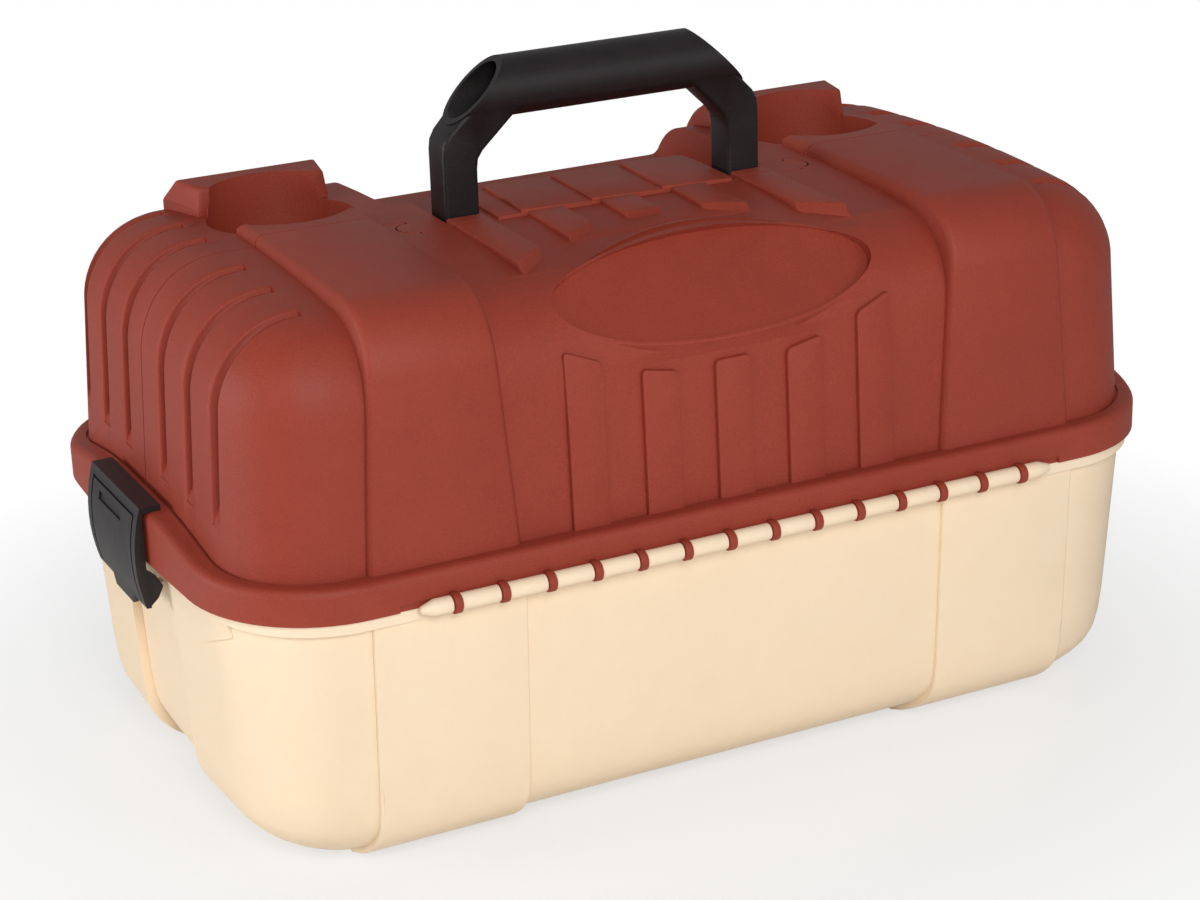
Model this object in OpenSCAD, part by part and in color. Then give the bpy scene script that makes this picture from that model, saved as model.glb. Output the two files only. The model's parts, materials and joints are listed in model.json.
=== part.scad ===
// Fishing tackle cabinet with two hip-roof lids and six cantilever trays.
// Millimetres, +Z up. X runs along the length and -Y is the front lid's side.
// The origin is the centre of the footprint, on the surface that the feet stand on.

/* [Base] */
// Length of the base at its rim
base_l = 524; // [500:2:560]
// Width of the base at its rim
base_w = 300; // [292:1:330]
// Height of the base's rim above the floor
base_h = 148; // [135:1:170]
// How far each wall of the base leans in from its rim to its bottom edge
base_draft = 8; // [4:0.5:14]
// Corner radius of the base, seen from above
base_corner_r = 48; // [40:1:60]
// Rounding of the base's bottom edge
base_edge_r = 33; // [20:1:36]
// Wall thickness of the base and of the lids
wall = 3; // [2.4:0.1:3.6]
// How far the broad bands, and the feet that they end in, stand proud
band_h = 2.5; // [1.5:0.1:3.5]
// Height of the flange under the lids' rim
flange_h = 6; // [4:0.5:10]
// How far the flange stands out from the wall
flange_out = 1.2; // [0.6:0.1:1.3]

/* [Bands and straps] */
// Distance from the centre to the middle of each strap
strap_x = 158; // [150:1:166]
// Width of a strap at its foot on the lid's rim
strap_foot_w = 80; // [74:1:84]
// Width of a strap's flat top
strap_top_w = 63; // [56:1:68]
// Rounding of a strap over the shoulder of the lid
strap_r = 35; // [28:1:40]
// How far a strap stands above the lid's end deck
strap_h = 5.2; // [4:0.2:7]
// How far a strap stands out from the lid's side wall
strap_out = 2.5; // [1.5:0.1:3.5]
// Distance from the centre to the near edge of the end bands
end_band_in = 38.5; // [38.2:0.1:41]
// Distance from the centre to the far edge of the end bands
end_band_out = 110; // [95:1:116]

/* [Lids] */
// Height of the lids' end deck above the base's rim
lid_h = 139.3; // [137:0.1:150]
// Height of the lids' rim
rim_h = 18; // [14:0.5:22]
// How far the lids' rim reaches past the base at each end
rim_over_end = 8; // [7:0.1:9]
// How far the lids' rim reaches past the base at each side
rim_over_side = 3.5; // [3:0.1:3.8]
// Corner radius of the rim, seen from above
rim_corner_r = 56; // [50:1:64]
// Ledge between the rim's outer face and the lid's end wall
ledge_end = 14; // [12:0.5:16]
// Ledge between the rim's outer face and the lid's side wall
ledge_side = 11; // [9:0.5:12]
// How far a lid's end wall leans in up to its shoulder
lid_draft_end = 4.5; // [2:0.5:8]
// How far a lid's side wall leans in up to its shoulder
lid_draft_side = 3.5; // [2:0.5:5]
// Rounding of the lid's shoulder at the ends
shoulder_end_r = 44; // [34:1:50]
// Rounding of the lid's shoulder along the sides
shoulder_side_r = 47; // [38:1:52]
// Rise of the crowned deck from the shoulder to the middle
crown = 3.8; // [2:0.2:6]
// Corner radius of the lids, seen from above
lid_corner_r = 46; // [38:1:52]
// Gap between the two lids, and under their rims
lid_gap = 0.6; // [0.6:0.1:1]
// How far the middle of the rear lid reaches over the front one
tongue_y = 22; // [16:1:24]
// Half the length of that tongue
tongue_x = 110; // [107:0.5:112]

/* [Lid details] */
// Width of a rib on the side walls, and of a raised block on the deck
rib_w = 20; // [14:1:24]
// Distance between neighbouring ribs
rib_pitch = 40; // [34:1:42]
// How far a rib stands out
rib_out = 1.8; // [1:0.1:2.5]
// Height of the middle ribs' tops above the base's rim
rib_top = 89; // [70:1:92]
// Height of the raised blocks above the deck's middle
block_h = 2; // [1:0.1:3]
// Half the length of the oval plaque
plaque_a = 88; // [70:1:92]
// Half the width of the oval plaque
plaque_b = 29; // [22:1:31]
// Slope of the plaque from the horizontal, in degrees
plaque_tilt = 44; // [40:1:50]
// Width of the rim round the plaque
plaque_rim = 3; // [2:0.5:4]
// Depth of the plaque's face below its rim
plaque_sink = 1.6; // [1:0.1:2]
// Distance between neighbouring grooves on the end walls
groove_pitch = 35.3; // [30:0.1:36]
// Width of a groove
groove_w = 5; // [3:0.5:7]
// Depth of a groove
groove_d = 1.8; // [1:0.1:2]
// Radius of a cup recess
cup_r = 38; // [34:0.5:40]
// Depth of a cup recess below the strap's top
cup_depth = 31.5; // [24:0.5:32]
// Distance from the parting line to the middle of a cup recess
cup_y = 48; // [44:0.5:52]
// Height of the raised block behind a cup recess
cup_boss_h = 8; // [5:0.5:9]

/* [Hinges] */
// Diameter of the steel hinge pins
hinge_pin_d = 3; // [2.5:0.1:3.5]
// Distance from the base's wall to the hinge line
hinge_out = 6.8; // [6.6:0.05:7.2]
// Height of the hinge line above the base's rim
hinge_up = 1; // [0.5:0.1:1.5]
// Distance between neighbouring lid rings
ring_pitch = 24.5; // [20:0.1:25]
// Number of lid rings on each hinge
ring_n = 14; // [10:1:14]
// Width of a lid ring
ring_w = 4; // [3:0.5:6]
// Radius of a lid ring
ring_r = 5.2; // [4.9:0.05:5.2]
// Radius of a base barrel
barrel_r = 4.2; // [3.8:0.05:4.2]
// Length of the pointed barrels at the hinge's two ends
tip_l = 22; // [14:1:26]

/* [Handle] */
// Height of the grip's centreline above the handle's pivots
handle_reach = 73; // [60:1:76]
// Diameter of the hollow grip
grip_d = 31; // [28:0.5:31]
// Wall of the hollow grip
grip_wall = 2.7; // [2:0.1:4]
// Distance between the outer faces of the two legs
handle_l = 182; // [174:1:188]
// Width of a leg
leg_w = 19; // [14:0.5:21]
// Depth of a leg
leg_d = 20; // [14:0.5:20]
// Diameter of the handle's pivot pins
handle_pin_d = 6; // [4:0.5:8]
// Play between a leg and its pocket
leg_play = 0.8; // [0.5:0.1:1.2]

/* [Latches] */
// Width of a latch
latch_w = 75; // [64:1:76]
// Thickness of a latch plate
latch_t = 2.5; // [2:0.1:2.5]
// Height of the pad that a latch hooks over, above the rim
pad_h = 9; // [7:0.1:9.1]
// Distance of the latch pin below the base's rim
latch_drop = 21; // [18:0.5:24]
// Diameter of a latch pin
latch_pin_d = 2.5; // [2:0.1:3]

/* [Trays] */
// Gap between a tray's end wall and the end of the base's rim
tray_end_gap = 26; // [25.5:0.5:42]
// Outer height of a tray
tray_h = 27; // [22:0.5:27]
// Wall and floor of a tray
tray_wall = 2; // [1.5:0.1:2.5]
// Gaps between the low, middle and top trays' outer walls and the side of the base's rim
tray_low_gap = 16; // [16:1:25]
tray_mid_gap = 19; // [19:1:37]
tray_top_gap = 34; // [34:1:57]
// Gap between the inner edge of a tray and the middle of the box
tray_gap = 3; // [2:0.5:5]
// Gap between a tray's rim and the floor of the tray above it
tray_step_gap = 3.2; // [3:0.1:3.6]
// Height of the low tray's floor above the base's rim
tray_lift = 7; // [6:0.5:8]
// Thickness of a loose divider
divider_t = 1.6; // [1.2:0.1:2]

/* [Arms] */
// Distance of a long arm's lowest pivot from the side of the base's rim
arm_foot_in = 30; // [29:0.5:32]
// Distance of a long arm's highest pivot from the middle of the box, when the lids are closed
arm_end_y = 30.5; // [29:0.5:32]
// Width of an arm
arm_w = 7; // [6:0.5:7.5]
// Thickness of an arm
arm_t = 2; // [1.5:0.1:2.2]
// Diameter of the arm pins
arm_pin_d = 4; // [3:0.1:4.5]

/* [Hidden] */

cream = "#f6dfb8";
brown = "#93402f";
black = "#2a2426";
steel = "#b9bcc0";
tray_colour = "#e8d3ab";

$fn = 48;
soft_fn = 32;
slab_t = 0.1;
far = 400;
run_fit = 0.05;
seat_fit = 0.02;
clear = 0.3;

half_l = base_l / 2;
half_w = base_w / 2;
rim_hx = half_l + rim_over_end;
rim_hy = half_w + rim_over_side;
rim_z = base_h + rim_h;
top_z = base_h + lid_h;
strap_z = top_z + strap_h;
lid_hx = rim_hx - ledge_end;
lid_hy = rim_hy - ledge_side;
end_arc_z = top_z - shoulder_end_r;
side_arc_z = top_z - crown - shoulder_side_r;
side_arc_y = lid_hy - lid_draft_side - shoulder_side_r;

hinge_y = half_w + hinge_out;
hinge_z = base_h + hinge_up;
ring_span = (ring_n - 1) * ring_pitch;
barrel_gap = 0.4;
hinge_half = ring_span / 2 + ring_w / 2 + barrel_gap + tip_l;

plaque_y = -121.6;
plaque_z = top_z - 17.2;

well_z = strap_z - cup_depth;
well_floor = 2.5;
handle_z = well_z + 0.5 + grip_d / 2;
trough_x = 105;
trough_y = 33;
leg_in = handle_l / 2 - leg_w;
leg_out = handle_l / 2;
grip_z = handle_z + handle_reach;

latch_x = half_l + 6.5;
latch_z = base_h - latch_drop;
latch_face = rim_hx + 0.7;
latch_r = 3.8;
ear_r = 3.4;
ear_under = 1.2;
ear_in = 14;
ear_out = 20;
pad_z = rim_z + pad_h;
pad_w = latch_w - 7;
pad_top_gap = 0.7;
cup_boss_in = 28.5;

tray_far_r = 30;
tray_near_r = 12;
tray_boss_r = 4;
tray_l = base_l - 2 * tray_end_gap;
tray_low_w = half_w - tray_gap - tray_low_gap;
tray_mid_w = half_w - tray_gap - tray_mid_gap;
tray_top_w = half_w - tray_gap - tray_top_gap;
tray_pin_in = tray_l / 2 - tray_wall - 2;
tray_pivot_up = tray_h / 2;
low_z = base_h + tray_lift;
lower_arm_y = half_w - arm_foot_in;
lower_arm_step = 16;
upper_arm_y = lower_arm_y - 6;
upper_arm_step = 15;
arm_rise = tray_h + tray_step_gap;
arm_run = (lower_arm_y - arm_end_y) / 2;
arm_pitch = sqrt(arm_rise * arm_rise + arm_run * arm_run);
arm_lean = atan2(arm_run, arm_rise);
arm_z = low_z + tray_pivot_up - arm_rise;
arm_x = tray_l / 2 + 2;
arm_pin_end = tray_l / 2 + 15;
upper_arm_x = arm_x + arm_t + 0.6;
boss_r = 5;

// A rounded rectangle, seen from above
module rounded(l, w, r) {
    square([l - 2 * r, w], center = true);
    square([l, w - 2 * r], center = true);
    for (sx = [-1, 1], sy = [-1, 1])
        translate([sx * (l / 2 - r), sy * (w / 2 - r)]) circle(r = r);
}

// A thin rounded slab at height z, which a hull joins to its neighbours
module slab(z, hx, hy, r) {
    translate([0, 0, z]) linear_extrude(slab_t) rounded(2 * hx, 2 * hy, r, $fn = soft_fn);
}

// A flat outline in Y and Z, drawn along X from x0 to x1
module along_x(x0, x1) {
    translate([x0, 0, 0]) rotate([90, 0, 90]) linear_extrude(x1 - x0) children();
}

// A flat outline in X and Z, drawn along Y from y0 to y1
module along_y(y0, y1) {
    translate([0, y1, 0]) rotate([90, 0, 0]) linear_extrude(y1 - y0) children();
}

// A round rod along X from x0 to x1
module rod_x(x0, x1, r, y, z) {
    translate([x0, y, z]) rotate([0, 90, 0]) cylinder(r = r, h = x1 - x0);
}

// The points of an arc, from angle a0 to angle a1
function arc(cx, cy, r, a0, a1, n = 8) =
    [for (i = [0 : n]) let (a = a0 + (a1 - a0) * i / n) [cx + r * cos(a), cy + r * sin(a)]];

// ---------------------------------------------------------------- base

// The base as a solid mass, grown by out and standing on z = bottom
module base_mass(out, bottom) {
    r = base_edge_r + out;
    hull() {
        slab(base_h - slab_t, half_l + out, half_w + out, base_corner_r + out);
        for (a = [0 : 15 : 90])
            slab(
                bottom + r * (1 - cos(90 - a)),
                half_l - base_draft + out - r * (1 - cos(a)),
                half_w - base_draft + out - r * (1 - cos(a)),
                base_corner_r - base_draft + out - r * (1 - cos(a)) * 0.8
            );
    }
}

// Where the broad bands cross the base's sides and ends
module band_zones() {
    for (s = [-1, 1]) {
        translate([s * strap_x - strap_foot_w / 2, -half_w - 20, -1])
            cube([strap_foot_w, base_w + 40, base_h + 1 - flange_h]);
        translate([-half_l - 20, s > 0 ? end_band_in : -end_band_out, -1])
            cube([base_l + 40, end_band_out - end_band_in, base_h + 1 - flange_h]);
    }
}

// The barrels of one hinge, with the ledge that carries them
module barrels(side) {
    for (i = [-1 : ring_n - 1]) {
        first = (i + 0.5 - ring_n / 2) * ring_pitch + ring_w / 2 + barrel_gap;
        x0 = i < 0 ? -hinge_half + tip_l / 2 : first;
        x1 = i == ring_n - 1 ? hinge_half - tip_l / 2 : first + ring_pitch - ring_w - 2 * barrel_gap;
        rod_x(x0, x1, barrel_r, side * hinge_y, hinge_z);
        translate([x0, side > 0 ? half_w - wall / 2 : -hinge_y, hinge_z - barrel_r])
            cube([x1 - x0, hinge_out + wall / 2, barrel_r - hinge_up]);
    }
    for (s = [-1, 1])
        translate([s * (hinge_half - tip_l / 2), side * hinge_y, hinge_z]) rotate([0, s * 90, 0])
            cylinder(r1 = barrel_r, r2 = hinge_pin_d / 2 + 0.6, h = tip_l / 2);
}

// The two ears that a latch pin runs through, at the end where x is positive
module latch_ears() {
    for (s = [-1, 1]) translate([0, s > 0 ? ear_in : -ear_out, 0]) {
        translate([half_l - wall, 0, latch_z - ear_under])
            cube([latch_x - half_l + wall, ear_out - ear_in, ear_r + ear_under]);
        translate([latch_x, 0, latch_z]) rotate([-90, 0, 0]) cylinder(r = ear_r, h = ear_out - ear_in);
    }
}

// The bosses inside the end walls that carry the arm pins
module arm_bosses(r, x0, x1) {
    for (sx = [-1, 1], sy = [-1, 1], y = [lower_arm_y, lower_arm_y - lower_arm_step])
        rod_x(sx > 0 ? x0 : -x1, sx > 0 ? x1 : -x0, r, sy * y, arm_z);
}

module base_tub() {
    color(cream) difference() {
        union() {
            difference() {
                union() {
                    base_mass(0, band_h);
                    intersection() {
                        base_mass(band_h, 0);
                        band_zones();
                    }
                    translate([0, 0, base_h - flange_h]) linear_extrude(flange_h)
                        rounded(base_l + 2 * flange_out, base_w + 2 * flange_out, base_corner_r + flange_out);
                }
                difference() {
                    base_mass(-wall, band_h + wall);
                    arm_bosses(boss_r, upper_arm_x - 0.2, half_l);
                }
                translate([0, 0, base_h - wall]) linear_extrude(2 * wall)
                    rounded(base_l - 2 * wall, base_w - 2 * wall, base_corner_r - wall);
            }
            barrels(-1);
            barrels(1);
            latch_ears();
            mirror([1, 0, 0]) latch_ears();
        }
        for (s = [-1, 1]) {
            rod_x(-hinge_half - 1, hinge_half + 1, hinge_pin_d / 2 + seat_fit, s * hinge_y, hinge_z);
            translate([s * latch_x, -ear_out - 1, latch_z]) rotate([-90, 0, 0])
                cylinder(d = latch_pin_d + 2 * seat_fit, h = 2 * ear_out + 2);
        }
        arm_bosses(arm_pin_d / 2 + seat_fit, upper_arm_x - 1, arm_pin_end);
    }
}

module arm_base_pins() {
    color(steel) arm_bosses(arm_pin_d / 2, arm_x - 0.4, arm_pin_end);
}

module hinge_pin(side) {
    color(steel) rod_x(-hinge_half + 1, hinge_half - 1, hinge_pin_d / 2, side * hinge_y, hinge_z);
}

// ---------------------------------------------------------------- lids

// Half the width of the lids at height z
function lid_side(z) =
    z <= side_arc_z ? lid_hy - lid_draft_side * (z - rim_z) / (side_arc_z - rim_z)
    : z < top_z - crown ? side_arc_y + sqrt(pow(shoulder_side_r, 2) - pow(z - side_arc_z, 2))
    : max(6, side_arc_y * sqrt(max(0, top_z - z) / crown));

// Both closed lids as one solid mass, from z = bottom up, grown by out
module lid_mass(out, bottom) {
    hull() {
        slab(bottom, lid_hx + out, lid_hy + out, lid_corner_r + out);
        slab(rim_z, lid_hx + out, lid_hy + out, lid_corner_r + out);
        for (a = [0 : 11.25 : 90]) {
            z = end_arc_z + shoulder_end_r * sin(a);
            inset = lid_draft_end + shoulder_end_r * (1 - cos(a));
            hy = lid_side(z) + out;
            slab(z + out - slab_t, lid_hx - inset + out, hy, min(lid_corner_r + out - inset * 0.6, hy - 1));
        }
    }
}

// The flange round the foot of both lids
module lid_rim() {
    difference() {
        translate([0, 0, base_h + lid_gap / 2]) linear_extrude(rim_h - lid_gap / 2)
            rounded(2 * rim_hx, 2 * rim_hy, rim_corner_r);
        translate([0, 0, base_h - 1]) linear_extrude(rim_h + 1 - wall)
            rounded(2 * (rim_hx - wall), 2 * (rim_hy - wall), rim_corner_r - wall);
        for (s = [-1, 1])
            rod_x(-hinge_half - 2, hinge_half + 2, barrel_r + barrel_gap, s * hinge_y, hinge_z);
    }
}

// A strap's outline across the box, at one side
function strap_outline() = concat(
    [[0, rim_z - wall], [lid_hy + strap_out, rim_z - wall], [lid_hy + strap_out, rim_z]],
    arc(lid_hy - lid_draft_side + strap_out - strap_r, strap_z - strap_r, strap_r, 0, 90),
    [[0, strap_z]]
);

// One strap over the lid whose side is given
module strap(side, sx) {
    intersection() {
        along_x(sx * strap_x - strap_foot_w, sx * strap_x + strap_foot_w)
            polygon([for (p = strap_outline()) [side * p[0], p[1]]]);
        along_y(-far, far) translate([sx * strap_x, 0]) polygon([
            [-strap_foot_w / 2, rim_z - wall], [strap_foot_w / 2, rim_z - wall],
            [strap_top_w / 2, strap_z], [-strap_top_w / 2, strap_z]
        ]);
    }
}

// The outlines of the ribs on a side wall
module rib_outlines() {
    for (i = [-2 : 2]) {
        rise = pow(abs(i), 2) * 4.2;
        lean = i * 2;
        translate([i * rib_pitch, base_h]) polygon([
            [-rib_w / 2, rim_h - wall], [rib_w / 2, rim_h - wall],
            [rib_w / 2 - 0.5, rib_top + rise + max(-rise, 2 * lean)],
            [-rib_w / 2 + 0.5, rib_top + rise - min(rise, 2 * lean)]
        ]);
    }
}

module ribs(side) {
    intersection() {
        lid_mass(rib_out, rim_z - wall);
        along_y(side > 0 ? half_w - 30 : -far, side > 0 ? far : -half_w + 30) rib_outlines();
    }
}

// The outline of the end wall and its shoulder, moved outwards by out
function end_outline(out) = concat(
    [[lid_hx - lid_draft_end * 0.3 + out, rim_z + 20]],
    arc(lid_hx - lid_draft_end - shoulder_end_r, end_arc_z, shoulder_end_r + out, 0, 90)
);

// The grooves over one lid's two end walls
module end_grooves(side) {
    for (sx = [0, 1], i = [0 : 2]) mirror([sx, 0, 0]) {
        y = side * (groove_pitch * (i + 0.78));
        along_y(y - groove_w / 2, y + groove_w / 2) polygon(concat(
            end_outline(3),
            [for (j = [len(end_outline(0)) - 1 : -1 : 0]) end_outline(-groove_d)[j]]
        ));
    }
}

// The part of the plan that belongs to one lid
module lid_zone(side) {
    back = side < 0 ? -lid_gap / 2 : lid_gap / 2;
    jog = tongue_x - side * lid_gap / 2;
    translate([0, 0, base_h - 1]) linear_extrude(far) polygon([
        [-far, side * far], [far, side * far], [far, back], [jog, back],
        [jog, -tongue_y + back], [-jog, -tongue_y + back], [-jog, back], [-far, back]
    ]);
}

// The rings that ride on the hinge pin, with the webs that join them to the rim
module rings(side) {
    for (i = [0 : ring_n - 1]) {
        x = (i - (ring_n - 1) / 2) * ring_pitch - ring_w / 2;
        rod_x(x, x + ring_w, ring_r, side * hinge_y, hinge_z);
        translate([x, side > 0 ? rim_hy - wall : -hinge_y, hinge_z + 1])
            cube([ring_w, hinge_y - rim_hy + wall, ring_r + 2]);
    }
}

// The pads on the rim that the latches hook over
module latch_pads() {
    for (sx = [-1, 1])
        translate([sx > 0 ? lid_hx - wall : -rim_hx + 1, -pad_w / 2, rim_z - wall])
            cube([rim_hx - lid_hx + wall - 1, pad_w, pad_h + wall - pad_top_gap]);
}

// An ellipse in the plaque's plane
module plaque_oval(grow, low, high) {
    translate([0, plaque_y, plaque_z]) rotate([plaque_tilt, 0, 0]) translate([0, 0, low])
        linear_extrude(high - low) polygon([
            for (a = [0 : 7.5 : 352.5]) [(plaque_a + grow) * cos(a), (plaque_b + grow) * sin(a)]
        ]);
}

// The raised blocks that fan out over the front deck
module deck_blocks() {
    for (i = [-2 : 2]) {
        reach = 58 + abs(i) * abs(i) * 10.5;
        along_x(i * (rib_pitch + 1) - rib_w / 2, i * (rib_pitch + 1) + rib_w / 2) polygon([
            [-tongue_y, top_z - wall], [-tongue_y, top_z + block_h], [4 - reach, top_z + block_h - 1.5],
            [-reach, top_z - 4 - abs(i)], [-reach, top_z - wall - 6]
        ]);
    }
}

// What one lid has in common with the other
module lid_skin(side) {
    intersection() {
        union() {
            lid_mass(0, rim_z - wall);
            lid_rim();
            strap(side, -1);
            strap(side, 1);
            ribs(side);
            latch_pads();
            children();
        }
        lid_zone(side);
    }
}

module front_lid() {
    color(brown) difference() {
        union() {
            difference() {
                lid_skin(-1) {
                    deck_blocks();
                    plaque_oval(plaque_rim, -8, 0);
                }
                difference() {
                    lid_mass(-wall, base_h - 1);
                    plaque_oval(plaque_rim, -plaque_sink - wall, 0);
                }
                plaque_oval(0, -plaque_sink, 20);
                end_grooves(-1);
            }
            rings(-1);
        }
        rod_x(-hinge_half, hinge_half, hinge_pin_d / 2 + run_fit, -hinge_y, hinge_z);
    }
}

// The cup recesses, the handle's trough and its two leg pockets, grown by skin
module rear_wells(skin) {
    floor_z = well_z - (skin > 0 ? well_floor : 0);
    for (sx = [-1, 1]) {
        translate([sx * strap_x, cup_y, floor_z]) cylinder(r = cup_r + skin, h = far, $fn = 64);
        translate([sx * (leg_in + leg_out) / 2 - leg_w / 2 - leg_play - skin, -leg_d / 2 - 1 - skin, floor_z])
            cube([leg_w + 2 * (leg_play + skin), trough_y + leg_d / 2 + 2 + skin, far]);
    }
    translate([-trough_x - skin, trough_y - skin, floor_z]) cube([2 * (trough_x + skin), far, far]);
}

// The raised block behind each cup recess
module cup_bosses() {
    for (sx = [-1, 1]) intersection() {
        along_y(cup_y - 2, lid_hy) polygon([
            [sx * strap_x - cup_r - 4, top_z - wall], [sx * strap_x + cup_r + 4, top_z - wall],
            [sx * strap_x + cup_r - 8, strap_z + cup_boss_h], [sx * strap_x - cup_r + 8, strap_z + cup_boss_h]
        ]);
        along_x(-far, far) polygon([
            [cup_y - 2, top_z - 12], [cup_y - 2, strap_z + cup_boss_h], [cup_y + 42, strap_z + cup_boss_h],
            [lid_hy - cup_boss_in, top_z - 14], [cup_y + 40, top_z - 14]
        ]);
    }
}

module rear_lid() {
    color(brown) difference() {
        union() {
            difference() {
                lid_skin(1) {
                    cup_bosses();
                    translate([-leg_in + leg_play + wall, -tongue_y, top_z - wall])
                        cube([2 * (leg_in - leg_play - wall), trough_y + tongue_y, wall + block_h + 1]);
                }
                difference() {
                    lid_mass(-wall, base_h - 1);
                    rear_wells(wall);
                }
                rear_wells(0);
                end_grooves(1);
            }
            rings(1);
        }
        rod_x(-hinge_half, hinge_half, hinge_pin_d / 2 + run_fit, hinge_y, hinge_z);
        for (sx = [-1, 1])
            rod_x(sx > 0 ? leg_in - leg_play - wall - 1 : -leg_out - leg_play - wall - 1,
                sx > 0 ? leg_out + leg_play + wall + 1 : -leg_in + leg_play + wall + 1,
                handle_pin_d / 2 + seat_fit, 0, handle_z);
    }
}

// ---------------------------------------------------------------- handle

// The outline of the handle, seen from the front
module handle_outline() {
    bend = grip_d / 2 + 22;
    polygon([
        [-leg_out, handle_z - leg_d], [-leg_out, grip_z + grip_d / 2 - bend], [bend - leg_out, grip_z + grip_d / 2],
        [leg_out - bend, grip_z + grip_d / 2], [leg_out, grip_z + grip_d / 2 - bend], [leg_out, handle_z - leg_d]
    ]);
}

module handle() {
    color(black) difference() {
        intersection() {
            union() {
                rod_x(-leg_out, leg_out, grip_d / 2, 0, grip_z);
                for (s = [0, 1]) mirror([s, 0, 0]) {
                    along_y(-leg_d / 2, leg_d / 2) polygon([
                        [leg_in, handle_z], [leg_out, handle_z], [leg_out, grip_z],
                        [leg_in - 22, grip_z - grip_d / 3], [leg_in - 22, grip_z - grip_d / 2],
                        [leg_in, grip_z - grip_d / 2 - 22]
                    ]);
                    rod_x(leg_in, leg_out, leg_d / 2, 0, handle_z);
                }
            }
            along_y(-far, far) handle_outline();
        }
        rod_x(-leg_out - 1, leg_out + 1, grip_d / 2 - grip_wall, 0, grip_z);
        rod_x(-leg_out - 1, leg_out + 1, handle_pin_d / 2 + run_fit, 0, handle_z);
    }
}

module handle_pins() {
    color(steel) for (s = [0, 1]) mirror([s, 0, 0])
        rod_x(leg_in - leg_play - wall, leg_out + leg_play + wall, handle_pin_d / 2, 0, handle_z);
}

// ---------------------------------------------------------------- latches

// The side view of a latch, where x is the way out from the box
module latch_outline() {
    top = pad_z;
    polygon(concat(
        [[lid_hx + 3.5, top], [lid_hx + 3.5, top + latch_t], [latch_face + 1.5, top + latch_t + 0.4]],
        [[latch_face + latch_t, top + latch_t - 1.5], [latch_face + latch_t + 2.2, rim_z - 6],
         [latch_face + latch_t + 3, base_h + 2], [latch_face + latch_t + 2.3, latch_z + 7],
         [latch_x + latch_r + 2.4, latch_z], [latch_x + latch_r + 0.8, latch_z - 4]],
        [[latch_x + latch_r - 0.8, latch_z - 3.4], [latch_x + latch_r, latch_z + 1],
         [latch_face + 2, base_h - 4], [latch_face + 2.6, base_h + 4], [latch_face + 1.8, rim_z - 6],
         [latch_face, top - 2], [latch_face - 0.4, top]]
    ));
}

// The latch at the end where x is positive
module latch() {
    color(black) difference() {
        union() {
            along_y(-latch_w / 2, latch_w / 2) latch_outline();
            for (s = [-1, 1]) translate([0, s > 0 ? ear_out + 1 : -ear_out - 7, 0]) {
                translate([latch_x, 0, latch_z]) rotate([-90, 0, 0]) cylinder(r = latch_r, h = 6);
                translate([latch_x, 0, latch_z - 2]) cube([latch_r + 1.5, 6, 4]);
            }
        }
        translate([latch_x, -latch_w, latch_z]) rotate([-90, 0, 0])
            cylinder(d = latch_pin_d + 2 * run_fit, h = 2 * latch_w);
    }
}

module latch_pin() {
    color(steel) translate([latch_x, -ear_out - 7, latch_z]) rotate([-90, 0, 0])
        cylinder(d = latch_pin_d, h = 2 * ear_out + 14);
}

// ---------------------------------------------------------------- trays and arms

function tray_w(level) = [tray_low_w, tray_mid_w, tray_top_w][level];
function tray_z(level) = low_z + level * arm_rise;
function cross_wall(level) = tray_gap + tray_w(level) * 0.42;
function divider_x(i) = (i - 0.5) * tray_l / 3;

// The plan of a front tray, shrunk by inset, with its wide corners away from the middle
module tray_plan(level, inset) {
    outer = tray_gap + tray_w(level) - inset;
    inner = tray_gap + inset;
    far_r = tray_far_r - inset;
    near_r = tray_near_r - inset;
    hx = tray_l / 2 - inset;
    translate([-hx, -outer + far_r]) square([2 * hx, outer - inner - far_r - near_r]);
    translate([-hx + far_r, -outer]) square([2 * (hx - far_r), outer - inner]);
    translate([-hx + near_r, -inner - near_r - 1]) square([2 * (hx - near_r), near_r + 1]);
    for (s = [-1, 1]) {
        translate([s * (hx - far_r), -outer + far_r]) circle(r = far_r);
        translate([s * (hx - near_r), -inner - near_r]) circle(r = near_r);
    }
}

// An open tray with one fixed wall along it, at the front side
module tray(level) {
    z = tray_z(level);
    color(tray_colour) difference() {
        union() {
            difference() {
                translate([0, 0, z]) linear_extrude(tray_h) tray_plan(level, 0);
                translate([0, 0, z + tray_wall]) linear_extrude(tray_h) tray_plan(level, tray_wall);
            }
            translate([-tray_l / 2 + tray_wall / 2, -cross_wall(level), z + tray_wall / 2])
                cube([tray_l - tray_wall, tray_wall, tray_h - tray_wall - 4]);
            tray_rods(level, tray_boss_r, tray_pin_in, tray_pin_in, tray_l / 2 + 1.4);
        }
        tray_rods(level, arm_pin_d / 2 + seat_fit, tray_pin_in + 1, tray_pin_in + 1, tray_l / 2 + 2);
    }
}

// The loose dividers that stand across a tray's wide compartment
module dividers(level) {
    w = tray_w(level);
    y0 = -tray_gap - w + tray_wall + clear / 2;
    y1 = -cross_wall(level) - clear / 2;
    color(black) for (i = [0, 1])
        translate([divider_x(i) - divider_t / 2, y0, tray_z(level) + tray_wall])
            cube([divider_t, y1 - y0, tray_h - tray_wall - 5]);
}

// How far from the middle of the box the pins of a tray are
function lower_pins(level) = [for (k = [0, 1]) lower_arm_y - k * lower_arm_step - (level + 1) * arm_run];
function upper_pins(level) = [for (k = [0, 1]) upper_arm_y - k * upper_arm_step - level * arm_run];

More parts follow.
